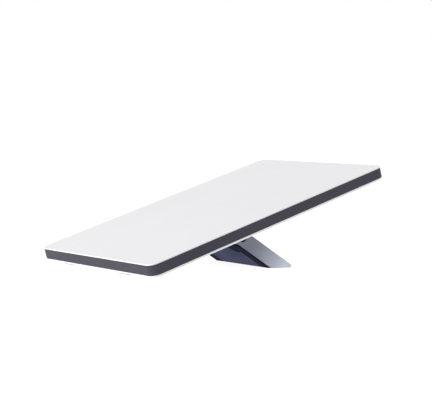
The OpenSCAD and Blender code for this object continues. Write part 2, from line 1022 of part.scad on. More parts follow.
// Band along the floor edge, from one height above the floor to another
module foot_band(start, low, high) {
    run = (leg_rear + leg_front) / sin(leg_slope) - toe_r / tan(leg_slope / 2) - start;
    translate([floor_reach(-leg_front, 0), -leg_front])
        rotate(leg_slope)
            translate([start, low])
                square([run, high - low]);
}

module cheek() {
    color([0.55, 0.55, 0.6])
        difference() {
            union() {
                in_leg() {
                    leg_prism(cheek_in_y, cheek_t)
                        leg_profile();
                    leg_prism(cheek_y - boss_t, boss_t)
                        stop_profile();
                    leg_prism(cheek_y - strip_w, strip_w - cheek_t + eps)
                        intersection() {
                            leg_profile();
                            foot_band(foot_start - 1, pad_h, pad_h + flange_plate_t);
                        }
                }
                above_floor(foot_lift)
                    in_leg()
                        translate([web_flange_top, web_flange_y, -leg_front + strip_t])
                            cube([
                                floor_reach(-leg_front, 0) - web_flange_top + 8,
                                cheek_y - cheek_t - web_flange_y + eps,
                                flange_plate_t
                            ]);
            }
            in_leg()
                translate([0, cheek_y, 0])
                    rotate([90, 0, 0]) {
                        translate([0, 0, -1])
                            cylinder(head_seat + 1, r = counterbore_r);
                        cylinder(boss_t + 1, r = bushing_r + bore_gap);
                    }
            in_leg()
                web_screw_places()
                    cylinder(2 * flange_plate_t, r = web_screw_r + 0.1, center = true);
        }
}

module left_cheek() {
    cheek();
}

module right_cheek() {
    mirror([0, 1, 0])
        cheek();
}

// Places of the web screws, on the rear face of the left cheek's flange
module web_screw_places() {
    last = floor_reach(-leg_front, 0) - 16;
    for (i = [0:2])
        translate([
            web_flange_top + 8 + (last - web_flange_top - 8) * i / 2,
            cheek_y - web_screw_in,
            -leg_front + strip_t + flange_plate_t
        ])
            children();
}

module web_screws() {
    color("silver")
        in_leg()
            both_sides()
                web_screw_places() {
                    cylinder(web_screw_head_h, r = web_screw_head_r);
                    translate([0, 0, -flange_plate_t - web_screw_bite])
                        cylinder(flange_plate_t + web_screw_bite + eps, r = web_screw_r);
                }
}

module web_panel() {
    length = floor_reach(-leg_front, 0) + 8 - web_top;
    inner = cheek_y - notch_in;
    color([0.42, 0.46, 0.58])
        difference() {
            above_floor(foot_lift)
                in_leg()
                    translate([0, 0, -leg_front + strip_t - web_t])
                        linear_extrude(web_t)
                            difference() {
                                translate([web_top, -web_edge_y])
                                    square([length, 2 * web_edge_y]);
                                both_sides()
                                    notch(inner);
                            }
            in_leg()
                both_sides()
                    web_screw_places()
                        translate([0, 0, -flange_plate_t - web_screw_bite - 0.2])
                            cylinder(flange_plate_t + web_screw_bite, r = web_screw_r + bore_gap);
        }
}

// Corner notch of the web, with a round inner corner
module notch(inner) {
    polygon(rounded(
        [
            [web_top - 1, inner],
            [notch_end, inner],
            [notch_end, cheek_y],
            [web_top - 1, cheek_y]
        ],
        [0, notch_r, 0, 0]
    ));
}

module edge_strip() {
    inner = cheek_y - notch_in + crescent;
    outer = cheek_in_y - strip_gap;
    color([0.08, 0.08, 0.09])
        above_floor(foot_lift)
            in_leg() {
                translate([head_top, cheek_y - strip_w, -leg_front])
                    cube([floor_reach(-leg_front, 0) + 8 - head_top, strip_w, strip_t]);
                translate([0, 0, -leg_front])
                    linear_extrude(strip_t + head_extra)
                        polygon(rounded(
                            [
                                [head_top, inner],
                                [notch_end - crescent, inner],
                                [notch_end - crescent, outer],
                                [head_top, outer]
                            ],
                            [2, notch_r - crescent, 0, 0]
                        ));
            }
}

module left_edge_strip() {
    edge_strip();
}

module right_edge_strip() {
    mirror([0, 1, 0])
        edge_strip();
}

module foot_pads() {
    color([0.1, 0.1, 0.11])
        in_leg()
            both_sides()
                leg_prism(cheek_y - strip_w, strip_w - cheek_t - strip_gap)
                    foot_band(foot_start, 0, pad_h);
}

module pull_bar() {
    reach = floor_reach(-leg_front, 0);
    color([0.6, 0.61, 0.64])
        in_leg()
            translate([reach + 8, cheek_in_y, 0])
                rotate([90, 0, 0])
                    cylinder(2 * cheek_in_y, r = pull_bar_r);
}

// Pads on the plateau that the open leg's stop faces bear on
module stop_pads() {
    flat_start = -cheek_front / sin(leg_open) - leg_rear / tan(leg_open);
    first = flat_start + stop_corner_r / tan(leg_open / 2) + 1;
    color([0.16, 0.16, 0.17])
        in_panel()
            both_sides()
                translate([hinge_x + first, cheek_y - boss_t + 1, -panel_depth - hinge_drop + leg_rear + 0.1])
                    cube([-first - 2, boss_t - 2, hinge_drop - leg_rear - 0.1]);
}

radome();
radome_spacer();
patch_array();
antenna_board();
beamformer_chips();
thermal_pads();
heat_spreader();
side_frame();
cover_gasket();
back_cover();
cover_screws();
power_board();
board_screws();
power_components();
shield_cans();
board_connector();
position_antenna();
cable_socket();
socket_seal();
vent_plug();
rest_bumpers();
stop_pads();
left_mount_rail();
right_mount_rail();
mount_screws();
kickstand_shoe();
latch_button();
latch_spring();
hinge_pins();
friction_washers();
disc_springs();
lock_nuts();
left_cheek();
right_cheek();
hinge_bushings();
hinge_caps();
web_panel();
web_screws();
left_edge_strip();
right_edge_strip();
foot_pads();
pull_bar();
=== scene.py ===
import json
import math

import bmesh
import bpy
from mathutils import Matrix, Vector


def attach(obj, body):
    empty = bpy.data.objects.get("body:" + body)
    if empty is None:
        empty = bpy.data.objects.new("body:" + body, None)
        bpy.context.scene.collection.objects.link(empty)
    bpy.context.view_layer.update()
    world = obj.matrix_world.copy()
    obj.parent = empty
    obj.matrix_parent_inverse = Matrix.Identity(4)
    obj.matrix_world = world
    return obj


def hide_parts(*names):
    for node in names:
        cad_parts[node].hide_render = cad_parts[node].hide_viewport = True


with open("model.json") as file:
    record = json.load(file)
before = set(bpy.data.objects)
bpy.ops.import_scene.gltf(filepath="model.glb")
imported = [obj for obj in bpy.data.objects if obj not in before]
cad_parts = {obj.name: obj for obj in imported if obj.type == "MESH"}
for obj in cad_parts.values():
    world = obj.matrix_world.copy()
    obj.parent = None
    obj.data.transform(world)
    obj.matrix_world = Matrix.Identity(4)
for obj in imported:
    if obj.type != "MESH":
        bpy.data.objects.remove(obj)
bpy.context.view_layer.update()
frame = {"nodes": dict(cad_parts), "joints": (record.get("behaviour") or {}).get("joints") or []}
scene = bpy.context.scene
print("frame loaded")

# Lengths are in millimetres until a piece is put in its place.
# Panel frame: x from the low edge to the high edge, z is 0 on the top face and falls below it.
# Leg frame: origin on the hinge, x runs down the leg, z points to its rear side.
panel = dict(length=594, width=383, corner=18, radome=2, bandBottom=22, rimBottom=26, rimStep=0.8,
             depth=39.7, hingeX=291, hingeDrop=12.7)
leg = dict(halfWidth=85, front=24, rear=10, footLift=0.4)

joints = {joint["name"]: joint for joint in frame["joints"]}
pressAxis = joints["latch_press"]["axis"]
tilt = math.atan2(-pressAxis[0], pressAxis[2])
legSlope = math.radians(joints["leg_fold"]["range_deg"][1]) - tilt
hinge = Vector(joints["leg_fold"]["pos_m"]) * 1000
hingeDepth = panel["depth"] + panel["hingeDrop"]
toHinge = Matrix.Scale(0.001, 4) @ Matrix.Translation(hinge)
panelPlace = toHinge @ Matrix.Rotation(-tilt, 4, "Y") @ Matrix.Translation((-panel["hingeX"], 0, hingeDepth))
legPlace = toHinge @ Matrix.Rotation(legSlope, 4, "Y")
sideways = Matrix.Rotation(math.radians(90), 4, "X")     # a profile drawn flat stands up along y


def addNode(tree, kind, sockets=None, **settings):
    made = tree.nodes.new("ShaderNode" + kind)
    for key, value in settings.items():
        setattr(made, key, value)
    for key, value in (sockets or {}).items():
        if isinstance(value, bpy.types.NodeSocket):
            tree.links.new(value, made.inputs[key])
        else:
            made.inputs[key].default_value = value
    return made


def startGroup(name, inputs, outputs):
    group = bpy.data.node_groups.new(name, "ShaderNodeTree")
    for label, kind in inputs:
        group.interface.new_socket(name=label, in_out="INPUT", socket_type="NodeSocket" + kind)
    for label, kind in outputs:
        group.interface.new_socket(name=label, in_out="OUTPUT", socket_type="NodeSocket" + kind)
    return group, group.nodes.new("NodeGroupInput").outputs, group.nodes.new("NodeGroupOutput").inputs


def makeGrain():
    # fine moulded or blasted texture, with a slow drift in tone
    group, given, result = startGroup(
        "surfaceGrain", (("Vector", "Vector"), ("Scale", "Float"), ("Drift", "Float")),
        (("Height", "Float"), ("Tone", "Float")))
    cells = addNode(group, "TexVoronoi", {"Vector": given["Vector"], "Scale": given["Scale"]}, feature="SMOOTH_F1")
    fine = addNode(group, "TexNoise", {"Vector": given["Vector"], "Scale": given["Scale"], "Detail": 3.0})
    slow = addNode(group, "TexNoise", {"Vector": given["Vector"], "Scale": given["Drift"], "Detail": 4.0,
                                       "Roughness": 0.55})
    height = addNode(group, "Math", {0: cells.outputs["Distance"], 1: fine.outputs["Fac"]}, operation="ADD")
    spread = addNode(group, "MapRange", {"Value": slow.outputs["Fac"], "From Min": 0.3, "From Max": 0.7})
    group.links.new(height.outputs[0], result["Height"])
    group.links.new(spread.outputs["Result"], result["Tone"])
    return group


def makeEdgeRub():
    # a broken mask along worn outer edges
    group, given, result = startGroup(
        "edgeRub", (("Vector", "Vector"), ("Pointiness", "Float"), ("Amount", "Float")), (("Mask", "Float"),))
    edge = addNode(group, "MapRange", {"Value": given["Pointiness"], "From Min": 0.53, "From Max": 0.62})
    chips = addNode(group, "TexNoise", {"Vector": given["Vector"], "Scale": 180.0, "Detail": 5.0})
    broken = addNode(group, "MapRange", {"Value": chips.outputs["Fac"], "From Min": 0.45, "From Max": 0.65})
    both = addNode(group, "Math", {0: edge.outputs["Result"], 1: broken.outputs["Result"]}, operation="MULTIPLY")
    mask = addNode(group, "Math", {0: both.outputs[0], 1: given["Amount"]}, operation="MULTIPLY")
    group.links.new(mask.outputs[0], result["Mask"])
    return group


def makeDust():
    # a thin film on faces that look up
    group, given, result = startGroup(
        "settledDust", (("Vector", "Vector"), ("Normal", "Vector"), ("Amount", "Float")), (("Mask", "Float"),))
    split = addNode(group, "SeparateXYZ", {"Vector": given["Normal"]})
    up = addNode(group, "MapRange", {"Value": split.outputs["Z"], "From Min": 0.1, "From Max": 1.0})
    cloud = addNode(group, "TexNoise", {"Vector": given["Vector"], "Scale": 14.0, "Detail": 6.0, "Roughness": 0.6})
    patchy = addNode(group, "MapRange", {"Value": cloud.outputs["Fac"], "From Min": 0.35, "From Max": 0.8})
    both = addNode(group, "Math", {0: up.outputs["Result"], 1: patchy.outputs["Result"]}, operation="MULTIPLY")
    mask = addNode(group, "Math", {0: both.outputs[0], 1: given["Amount"]}, operation="MULTIPLY")
    group.links.new(mask.outputs[0], result["Mask"])
    return group


grainGroup, rubGroup, dustGroup = makeGrain(), makeEdgeRub(), makeDust()


def blendColour(tree, factor, first, second):
    return addNode(tree, "Mix", {0: factor, 6: first, 7: second}, data_type="RGBA").outputs[2]


def surface(name, base, drifted, rough, metal=0.0, grain=2200.0, drift=9.0, relief=0.02, dust=0.0, wear=0.0,
            worn=(0.5, 0.5, 0.52), stretch=(1, 1, 1), specular=0.5):
    material = bpy.data.materials.new(name)
    material.use_nodes = True
    tree = material.node_tree
    shader = tree.nodes["Principled BSDF"]
    place = addNode(tree, "TexCoord").outputs["Object"]
    geometry = addNode(tree, "NewGeometry")
    mapped = addNode(tree, "Mapping", {"Vector": place, "Rotation": (0, tilt, 0), "Scale": stretch})
    grainNode = addNode(tree, "Group", node_tree=grainGroup)
    tree.links.new(mapped.outputs["Vector"], grainNode.inputs["Vector"])
    grainNode.inputs["Scale"].default_value = grain
    grainNode.inputs["Drift"].default_value = drift
    tone = grainNode.outputs["Tone"]
    colour = blendColour(tree, tone, (*base, 1), (*drifted, 1))
    roughness = addNode(tree, "MapRange", {"Value": tone, "To Min": rough[0], "To Max": rough[1]}).outputs["Result"]
    if wear:
        rub = addNode(tree, "Group", node_tree=rubGroup)
        tree.links.new(place, rub.inputs["Vector"])
        tree.links.new(geometry.outputs["Pointiness"], rub.inputs["Pointiness"])
        rub.inputs["Amount"].default_value = wear
        colour = blendColour(tree, rub.outputs["Mask"], colour, (*worn, 1))
    if dust:
        film = addNode(tree, "Group", node_tree=dustGroup)
        tree.links.new(place, film.inputs["Vector"])
        tree.links.new(geometry.outputs["Normal"], film.inputs["Normal"])
        film.inputs["Amount"].default_value = dust
        colour = blendColour(tree, film.outputs["Mask"], colour, (0.62, 0.6, 0.57, 1))
    tree.links.new(colour, shader.inputs["Base Color"])
    tree.links.new(roughness, shader.inputs["Roughness"])
    bump = addNode(tree, "Bump", {"Height": grainNode.outputs["Height"], "Strength": 1.0, "Distance": relief / 1000})
    tree.links.new(bump.outputs["Normal"], shader.inputs["Normal"])
    shader.inputs["Metallic"].default_value = metal
    shader.inputs["Specular IOR Level"].default_value = specular
    return material


finishes = dict(
    radomeWhite=surface("radomeWhite", (0.775, 0.775, 0.79), (0.755, 0.755, 0.77), (0.36, 0.46), relief=0.01,
                        drift=5.0, dust=0.03),
    bandGrey=surface("bandGrey", (0.045, 0.042, 0.060), (0.039, 0.036, 0.052), (0.42, 0.55), grain=1500.0,
                     relief=0.05, specular=0.3, wear=0.12, worn=(0.16, 0.16, 0.18)),
    coverWhite=surface("coverWhite", (0.81, 0.815, 0.85), (0.78, 0.785, 0.82), (0.45, 0.6), grain=1200.0,
                       relief=0.04, drift=7.0),
    legMetal=surface("legMetal", (0.198, 0.21, 0.252), (0.18, 0.192, 0.234), (0.42, 0.54), metal=0.6, grain=2600.0,
                     relief=0.03, drift=12.0, wear=0.3, worn=(0.72, 0.73, 0.76)),
    # very dark blue base: partly the web's own anodised blue-grey, partly painted shade of a face that looks down at
    # the floor
    webMetalPaintedShade=surface("webMetalPaintedShade", (0.010, 0.018, 0.088), (0.006, 0.011, 0.06), (0.5, 0.62), metal=0.3, grain=2600.0,
                     relief=0.03, drift=16.0, specular=0.12, wear=0.2, worn=(0.16, 0.18, 0.26)),
    stripBlack=surface("stripBlack", (0.004, 0.005, 0.013), (0.008, 0.009, 0.021), (0.6, 0.75), grain=900.0,
                       relief=0.05, specular=0.03),
    padRubber=surface("padRubber", (0.018, 0.018, 0.02), (0.03, 0.03, 0.032), (0.7, 0.85), grain=700.0,
                      relief=0.08, dust=0.1, specular=0.3),
    gasketBlack=surface("gasketBlack", (0.014, 0.014, 0.014), (0.02, 0.02, 0.02), (0.65, 0.8), grain=900.0,
                        relief=0.05),
    partBlack=surface("partBlack", (0.022, 0.022, 0.025), (0.03, 0.03, 0.034), (0.38, 0.5), grain=1400.0,
                      relief=0.04, wear=0.1, worn=(0.12, 0.12, 0.13)),
    mountDark=surface("mountDark", (0.055, 0.055, 0.062), (0.042, 0.042, 0.048), (0.42, 0.56), grain=1100.0,
                      relief=0.06, wear=0.2, worn=(0.17, 0.17, 0.18)),
    buttonGrey=surface("buttonGrey", (0.19, 0.19, 0.205), (0.165, 0.165, 0.18), (0.4, 0.5), grain=1300.0,
                       relief=0.04, wear=0.15, worn=(0.36, 0.36, 0.38)),
    screwSteel=surface("screwSteel", (0.56, 0.56, 0.58), (0.48, 0.48, 0.5), (0.24, 0.38), metal=1.0, grain=1800.0,
                       relief=0.015, drift=260.0),
    pinSteel=surface("pinSteel", (0.5, 0.5, 0.52), (0.42, 0.42, 0.44), (0.18, 0.34), metal=1.0, grain=700.0,
                     relief=0.01, drift=150.0, stretch=(6, 0.4, 6)),
    washerBronze=surface("washerBronze", (0.46, 0.29, 0.13), (0.36, 0.22, 0.1), (0.28, 0.45), metal=1.0,
                         grain=1500.0, relief=0.02, drift=200.0),
    spreaderAlu=surface("spreaderAlu", (0.6, 0.6, 0.62), (0.52, 0.52, 0.54), (0.42, 0.6), metal=1.0, grain=900.0,
                        relief=0.06, drift=20.0),
    canTin=surface("canTin", (0.62, 0.62, 0.62), (0.52, 0.52, 0.53), (0.22, 0.36), metal=1.0, grain=1600.0,
                   relief=0.01, drift=90.0, stretch=(0.3, 5, 5)),
    spacerFoam=surface("spacerFoam", (0.74, 0.75, 0.77), (0.66, 0.67, 0.7), (0.75, 0.9), grain=450.0, relief=0.2,
                       specular=0.2),
    thermalPad=surface("thermalPad", (0.27, 0.32, 0.42), (0.22, 0.27, 0.37), (0.7, 0.85), grain=800.0, relief=0.08,
                       specular=0.2),
    chipBlack=surface("chipBlack", (0.018, 0.018, 0.02), (0.026, 0.026, 0.028), (0.5, 0.62), grain=2600.0,
                      relief=0.02),
    connectorIvory=surface("connectorIvory", (0.72, 0.66, 0.52), (0.66, 0.6, 0.46), (0.38, 0.5), grain=1600.0,
                           relief=0.02),
    ceramicTan=surface("ceramicTan", (0.5, 0.4, 0.25), (0.44, 0.34, 0.2), (0.5, 0.65), grain=1700.0, relief=0.04),
)


def boardSurface(name, mask, copper, pitch):
    # solder mask with lighter tracks running both ways under it
    material = surface(name, mask, tuple(0.8 * value for value in mask), (0.28, 0.4), grain=1800.0, relief=0.01)
    tree = material.node_tree
    shader = tree.nodes["Principled BSDF"]
    place = addNode(tree, "TexCoord").outputs["Object"]
    mapped = addNode(tree, "Mapping", {"Vector": place, "Rotation": (0, tilt, 0),
                                       "Scale": (1 / pitch, 1 / pitch, 0.0)})
    tracks = addNode(tree, "TexBrick", {"Vector": mapped.outputs["Vector"], "Color1": (0, 0, 0, 1),
                                        "Color2": (0, 0, 0, 1), "Mortar": (1, 1, 1, 1), "Scale": 1.0,
                                        "Mortar Size": 0.09, "Brick Width": 1.7, "Row Height": 0.6})
    under = shader.inputs["Base Color"].links[0].from_socket
    tree.links.new(blendColour(tree, tracks.outputs["Color"], under, (*copper, 1)), shader.inputs["Base Color"])
    return material


def patchSurface(name, pitch, film, copper):
    # copper discs on an amber film, one to each cell of the grid
    material = surface(name, film, tuple(0.85 * value for value in film), (0.25, 0.36), grain=1800.0, relief=0.01)
    tree = material.node_tree
    shader = tree.nodes["Principled BSDF"]
    place = addNode(tree, "TexCoord").outputs["Object"]
    mapped = addNode(tree, "Mapping", {"Vector": place, "Rotation": (0, tilt, 0),
                                       "Scale": (1000 / pitch, 1000 / pitch, 0.0)})
    shifted = addNode(tree, "VectorMath", {0: mapped.outputs["Vector"], 1: (panelShift / pitch, 0.5, 0.5)},
                      operation="ADD")
    cell = addNode(tree, "VectorMath", {0: shifted.outputs[0]}, operation="FRACTION")
    away = addNode(tree, "VectorMath", {0: cell.outputs[0], 1: (0.5, 0.5, 0.5)}, operation="DISTANCE")
    disc = addNode(tree, "Math", {0: away.outputs["Value"], 1: 0.32}, operation="LESS_THAN")
    under = shader.inputs["Base Color"].links[0].from_socket
    tree.links.new(blendColour(tree, disc.outputs[0], under, (*copper, 1)), shader.inputs["Base Color"])
    tree.links.new(disc.outputs[0], shader.inputs["Metallic"])
    return material


# distance that brings a cell's edge of the patch grid onto a whole number along the panel
panelShift = panel["hingeX"] - (math.cos(tilt) * hinge.x + math.sin(tilt) * hinge.z) + 27 / 2 - panel["length"] / 2
finishes["boardGreen"] = boardSurface("boardGreen", (0.02, 0.12, 0.05), (0.05, 0.22, 0.1), 0.004)
finishes["patchCopper"] = patchSurface("patchCopper", 27, (0.32, 0.13, 0.03), (0.75, 0.4, 0.22))
print("materials ready")


def ringFace(bm, length, width, corner, height, steps, at=(0, 0)):
    known = set(bm.faces)
    sheet = bmesh.ops.create_grid(bm, x_segments=1, y_segments=1, size=0.5)["verts"]
    bmesh.ops.scale(bm, vec=(length, width, 1), verts=sheet)
    bmesh.ops.translate(bm, vec=(at[0], at[1], height), verts=sheet)
    bmesh.ops.bevel(bm, geom=sheet, affect="VERTICES", offset=corner, offset_type="OFFSET", segments=steps,
                    profile=0.5, material=-1)
    return (set(bm.faces) - known).pop()


def loft(size, sections, at=(0, 0), steps=10, closed=False):
    # rounded rectangles, each drawn in by an inset
    return bridged([(size[0] - 2 * inset, size[1] - 2 * inset, corner, depth) for inset, corner, depth in sections],
                   at, steps, closed)


def bridged(sections, at=(0, 0), steps=10, closed=False):
    # rounded rectangles of (length, width, corner, depth), bridged one to the next
    bm = bmesh.new()
    rings = [ringFace(bm, length, width, corner, -depth, steps, at) for length, width, corner, depth in sections]
    edges = [list(ring.edges) for ring in rings]
    inner = rings if closed else rings[1:-1]
    bmesh.ops.delete(bm, geom=inner, context="FACES_ONLY")
    pairs = list(zip(edges, edges[1:])) + ([(edges[-1], edges[0])] if closed else [])
    for first, second in pairs:
        bmesh.ops.bridge_loops(bm, edges=first + second)
    return bm


def outline(bm, corners, steps=10):
    # a flat face from corner points, each with its own round
    ends = []
    count = len(corners)
    for index, (x, y, radius) in enumerate(corners):
        here = Vector((x, y, 0))
        before = Vector((*corners[index - 1][:2], 0)) - here
        after = Vector((*corners[(index + 1) % count][:2], 0)) - here
        half = before.angle(after) / 2
        if radius <= 0:
            vert = bm.verts.new(here)
            ends.append((vert, vert))
            continue
        start = here + before.normalized() * radius / math.tan(half)
        centre = here + (before.normalized() + after.normalized()).normalized() * radius / math.sin(half)
        turn = (math.pi - 2 * half) * (-1 if before.cross(after).z > 0 else 1)
        vert = bm.verts.new(start)
        arc = bmesh.ops.spin(bm, geom=[vert], cent=centre, axis=(0, 0, 1), dvec=(0, 0, 0), angle=turn, steps=steps,
                             use_merge=False, use_duplicate=False)
        last = [item for item in arc["geom_last"] if isinstance(item, bmesh.types.BMVert)][0]
        ends.append((vert, last))
    for (_, last), (first, _) in zip(ends, ends[1:] + ends[:1]):
        bm.edges.new((last, first))
    return bmesh.ops.contextual_create(bm, geom=bm.edges[:])["faces"][0]


def soften(bm, edges, width, segments=3):
    if edges:
        bmesh.ops.bevel(bm, geom=list(edges), affect="EDGES", offset=width, offset_type="OFFSET",
                        segments=segments, profile=0.5, material=-1, clamp_overlap=True)


def prism(corners, low, high, edge=0.0, steps=10, upright=False):
    # a solid between two heights; upright stands it along y, from low to high
    bm = bmesh.new()
    face = outline(bm, corners, steps)
    made = bmesh.ops.extrude_face_region(bm, geom=[face])["geom"]
    lifted = [item for item in made if isinstance(item, bmesh.types.BMVert)]
    bmesh.ops.translate(bm, vec=(0, 0, high - low), verts=lifted)
    bmesh.ops.recalc_face_normals(bm, faces=bm.faces)
    if edge:
        soften(bm, [item for item in bm.edges if abs(item.calc_face_angle(0)) > 0.6
                    and abs(item.verts[0].co.z - item.verts[1].co.z) < 0.001], edge)
    if upright:
        bmesh.ops.transform(bm, matrix=Matrix.Translation((0, high, 0)) @ sideways, verts=bm.verts)
    else:
        bmesh.ops.translate(bm, vec=(0, 0, low), verts=bm.verts)
    return bm


def box(low, high, edge=0.0):
    bm = bmesh.new()
    bmesh.ops.create_cube(bm, size=1)
    bmesh.ops.scale(bm, vec=[b - a for a, b in zip(low, high)], verts=bm.verts)
    bmesh.ops.translate(bm, vec=[(a + b) / 2 for a, b in zip(low, high)], verts=bm.verts)
    if edge:
        soften(bm, bm.edges, edge)
    return bm


def lathe(profile, steps=40, at=(0, 0, 0), upright=False):
    # a profile of (radius, height) spun round; upright lays its axis along y
    bm = bmesh.new()
    verts = [bm.verts.new((radius, 0, height)) for radius, height in profile]
    lines = [bm.edges.new(pair) for pair in zip(verts, verts[1:])]
    bmesh.ops.spin(bm, geom=verts + lines, cent=(0, 0, 0), axis=(0, 0, 1), dvec=(0, 0, 0),
                   angle=math.radians(360), steps=steps, use_merge=True, use_duplicate=False)
    bmesh.ops.remove_doubles(bm, verts=bm.verts, dist=0.0005)
    bmesh.ops.recalc_face_normals(bm, faces=bm.faces)
    turned = sideways if upright else Matrix.Identity(4)
    bmesh.ops.transform(bm, matrix=Matrix.Translation(at) @ turned, verts=bm.verts)
    return bm


def asMesh(bm):
    mesh = bpy.data.meshes.new("work")
    bm.to_mesh(mesh)
    bm.free()
    return mesh


def gather(parts):
    whole = bmesh.new()
    for part in parts:
        mesh = asMesh(part)
        whole.from_mesh(mesh)
        bpy.data.meshes.remove(mesh)
    return whole


def combine(base, tool, operation="DIFFERENCE"):
    bodies = []
    for part in (base, tool):
        bmesh.ops.recalc_face_normals(part, faces=part.faces)
        body = bpy.data.objects.new("work", asMesh(part))
        scene.collection.objects.link(body)
        bodies.append(body)
    step = bodies[0].modifiers.new("combine", "BOOLEAN")
    step.object, step.operation, step.solver = bodies[1], operation, "EXACT"
    shaped = bodies[0].evaluated_get(bpy.context.evaluated_depsgraph_get())
    result = bmesh.new()
    result.from_mesh(shaped.to_mesh())
    shaped.to_mesh_clear()
    for body in bodies:
        mesh = body.data
        bpy.data.objects.remove(body)
        bpy.data.meshes.remove(mesh)
    bmesh.ops.remove_doubles(result, verts=result.verts, dist=0.001)
    return result


def mirrored(bm):
    bmesh.ops.scale(bm, vec=(1, -1, 1), verts=bm.verts)
    bmesh.ops.reverse_faces(bm, faces=bm.faces)
    return bm


def bothSides(make):
    return gather([make(), mirrored(make())])


def addPiece(name, bm, place, body, finish, replaced=()):
    bmesh.ops.transform(bm, matrix=place, verts=bm.verts)
    bmesh.ops.recalc_face_normals(bm, faces=bm.faces)
    mesh = asMesh(bm)
    mesh.name = name
    mesh.shade_smooth()
    mesh.set_sharp_from_angle(angle=math.radians(32))
    piece = bpy.data.objects.new(name, mesh)
    scene.collection.objects.link(piece)
    piece.data.materials.append(finishes[finish])
    flat = piece.modifiers.new("shading", "WEIGHTED_NORMAL")
    flat.keep_sharp = True
    flat.weight = 80
    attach(piece, body)
    if replaced:
        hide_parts(*replaced)
    print("made", name)
    return piece


def floorReach(z, lift=0.4):
    # how far down the leg a line at this z comes to this lift above the floor
    return (hinge.z - lift + z * math.cos(legSlope)) / math.sin(legSlope)


def cutAtFloor(bm, lift):
    # takes away what the leg's straight pieces have below a height above the floor
    down = Vector((math.sin(legSlope), 0, -math.cos(legSlope)))
    bmesh.ops.bisect_plane(bm, geom=bm.verts[:] + bm.edges[:] + bm.faces[:], plane_co=down * (hinge.z - lift),
                           plane_no=down, clear_outer=True)
    bmesh.ops.holes_fill(bm, edges=[edge for edge in bm.edges if edge.is_boundary], sides=0)
    return bm


# Radome: one sheet with a rolled top edge
radome = dict(roll=1.0, rollSteps=5)


def makeRadome():
    roll = radome["roll"]
    sections = [(0, panel["corner"], panel["radome"]), (0, panel["corner"], roll)]
    for step in range(1, radome["rollSteps"] + 1):
        angle = math.radians(90) * step / radome["rollSteps"]
        inset = roll * (1 - math.cos(angle))
        sections.append((inset, panel["corner"] - inset, roll * (1 - math.sin(angle))))
    return loft((panel["length"], panel["width"]), sections, (panel["length"] / 2, 0), steps=14)


addPiece("radomeSheet", makeRadome(), panelPlace, "panel", "radomeWhite", ["radome"])

# Side band: shadow gap under the radome, soft edges, flange inside for the cover
band = dict(gap=0.5, gapHeight=0.7, edge=0.5, wall=4, flange=14, flangeTop=17)


def makeBand():
    top, bottom = panel["radome"], panel["bandBottom"]
    gap, edge, draft = band["gap"], band["edge"], 0.02
    points = [(gap, top), (gap, top + band["gapHeight"]), (edge * 0.3, top + band["gapHeight"] + 0.1),
              (0, top + band["gapHeight"] + 0.5), (0, bottom - edge), (edge * 0.3, bottom - edge * 0.3),
              (edge, bottom), (band["wall"] + band["flange"], bottom - draft),
              (band["wall"] + band["flange"], band["flangeTop"]), (band["wall"], band["flangeTop"] - draft),
              (band["wall"], top + draft)]
    sections = [(inset, max(panel["corner"] - inset, 1), depth) for inset, depth in points]
    return loft((panel["length"], panel["width"]), sections, (panel["length"] / 2, 0), steps=14, closed=True)


coverScrew = dict(inward=8, hole=1.7, headHole=3.4, seat=25, perLong=5, perEnd=3,
                  head=3, headHigh=2, shank=1.5, length=6, recess=1.4)


def coverScrewPlaces():
    runX = panel["length"] - 2 * panel["corner"] - 2 * coverScrew["inward"]
    runY = panel["width"] - 2 * panel["corner"] - 2 * coverScrew["inward"]
    places = []
    for index in range(coverScrew["perLong"]):
        x = panel["corner"] + coverScrew["inward"] + runX * index / (coverScrew["perLong"] - 1)
        places += [(x, side * (panel["width"] / 2 - coverScrew["inward"])) for side in (-1, 1)]
    for index in range(coverScrew["perEnd"]):
        y = runY * (index / (coverScrew["perEnd"] - 1) - 0.5)
        places += [(coverScrew["inward"], y), (panel["length"] - coverScrew["inward"], y)]
    return places


bandBores = gather([lathe([(0, -23), (1.55, -23), (1.55, -18.2), (0, -18.2)], 16, (x, y, 0))
                    for x, y in coverScrewPlaces()])
addPiece("sideBand", combine(makeBand(), bandBores), panelPlace, "panel", "bandGrey", ["side_frame"])

# Back cover: rim, sloping skirt and plateau with soft turns, gasket groove, and its holes
cover = dict(skirt=51, plateauCorner=28, wall=2.2, turn=4, groove=(11.9, 13.7), grooveDepth=1.2)
socket = dict(x=205, y=92, body=24, flange=3, flangeThick=1.6, seal=0.8, cavity=(16, 14), cavityDepth=15)
vent = dict(x=150, y=92, radius=6, bore=2, low=34.5, lip=2, lipThick=1, slots=8)
mountScrew = dict(along=(-22, 14), side=53.9, seat=43.7, head=3.6, headHigh=2.3, shank=2, length=12, recess=1.8)


def skirtDepth(inset):
    slope = (panel["depth"] - panel["rimBottom"]) / (cover["skirt"] - panel["rimStep"])
    return panel["rimBottom"] + (inset - panel["rimStep"]) * slope


def coverCorner(inset):
    if inset > cover["skirt"]:
        return cover["skirt"] + cover["plateauCorner"] - inset
    share = (inset - panel["rimStep"]) / (cover["skirt"] - panel["rimStep"])
    first = panel["corner"] - panel["rimStep"]
    return max(first + (cover["plateauCorner"] - first) * share, 1)


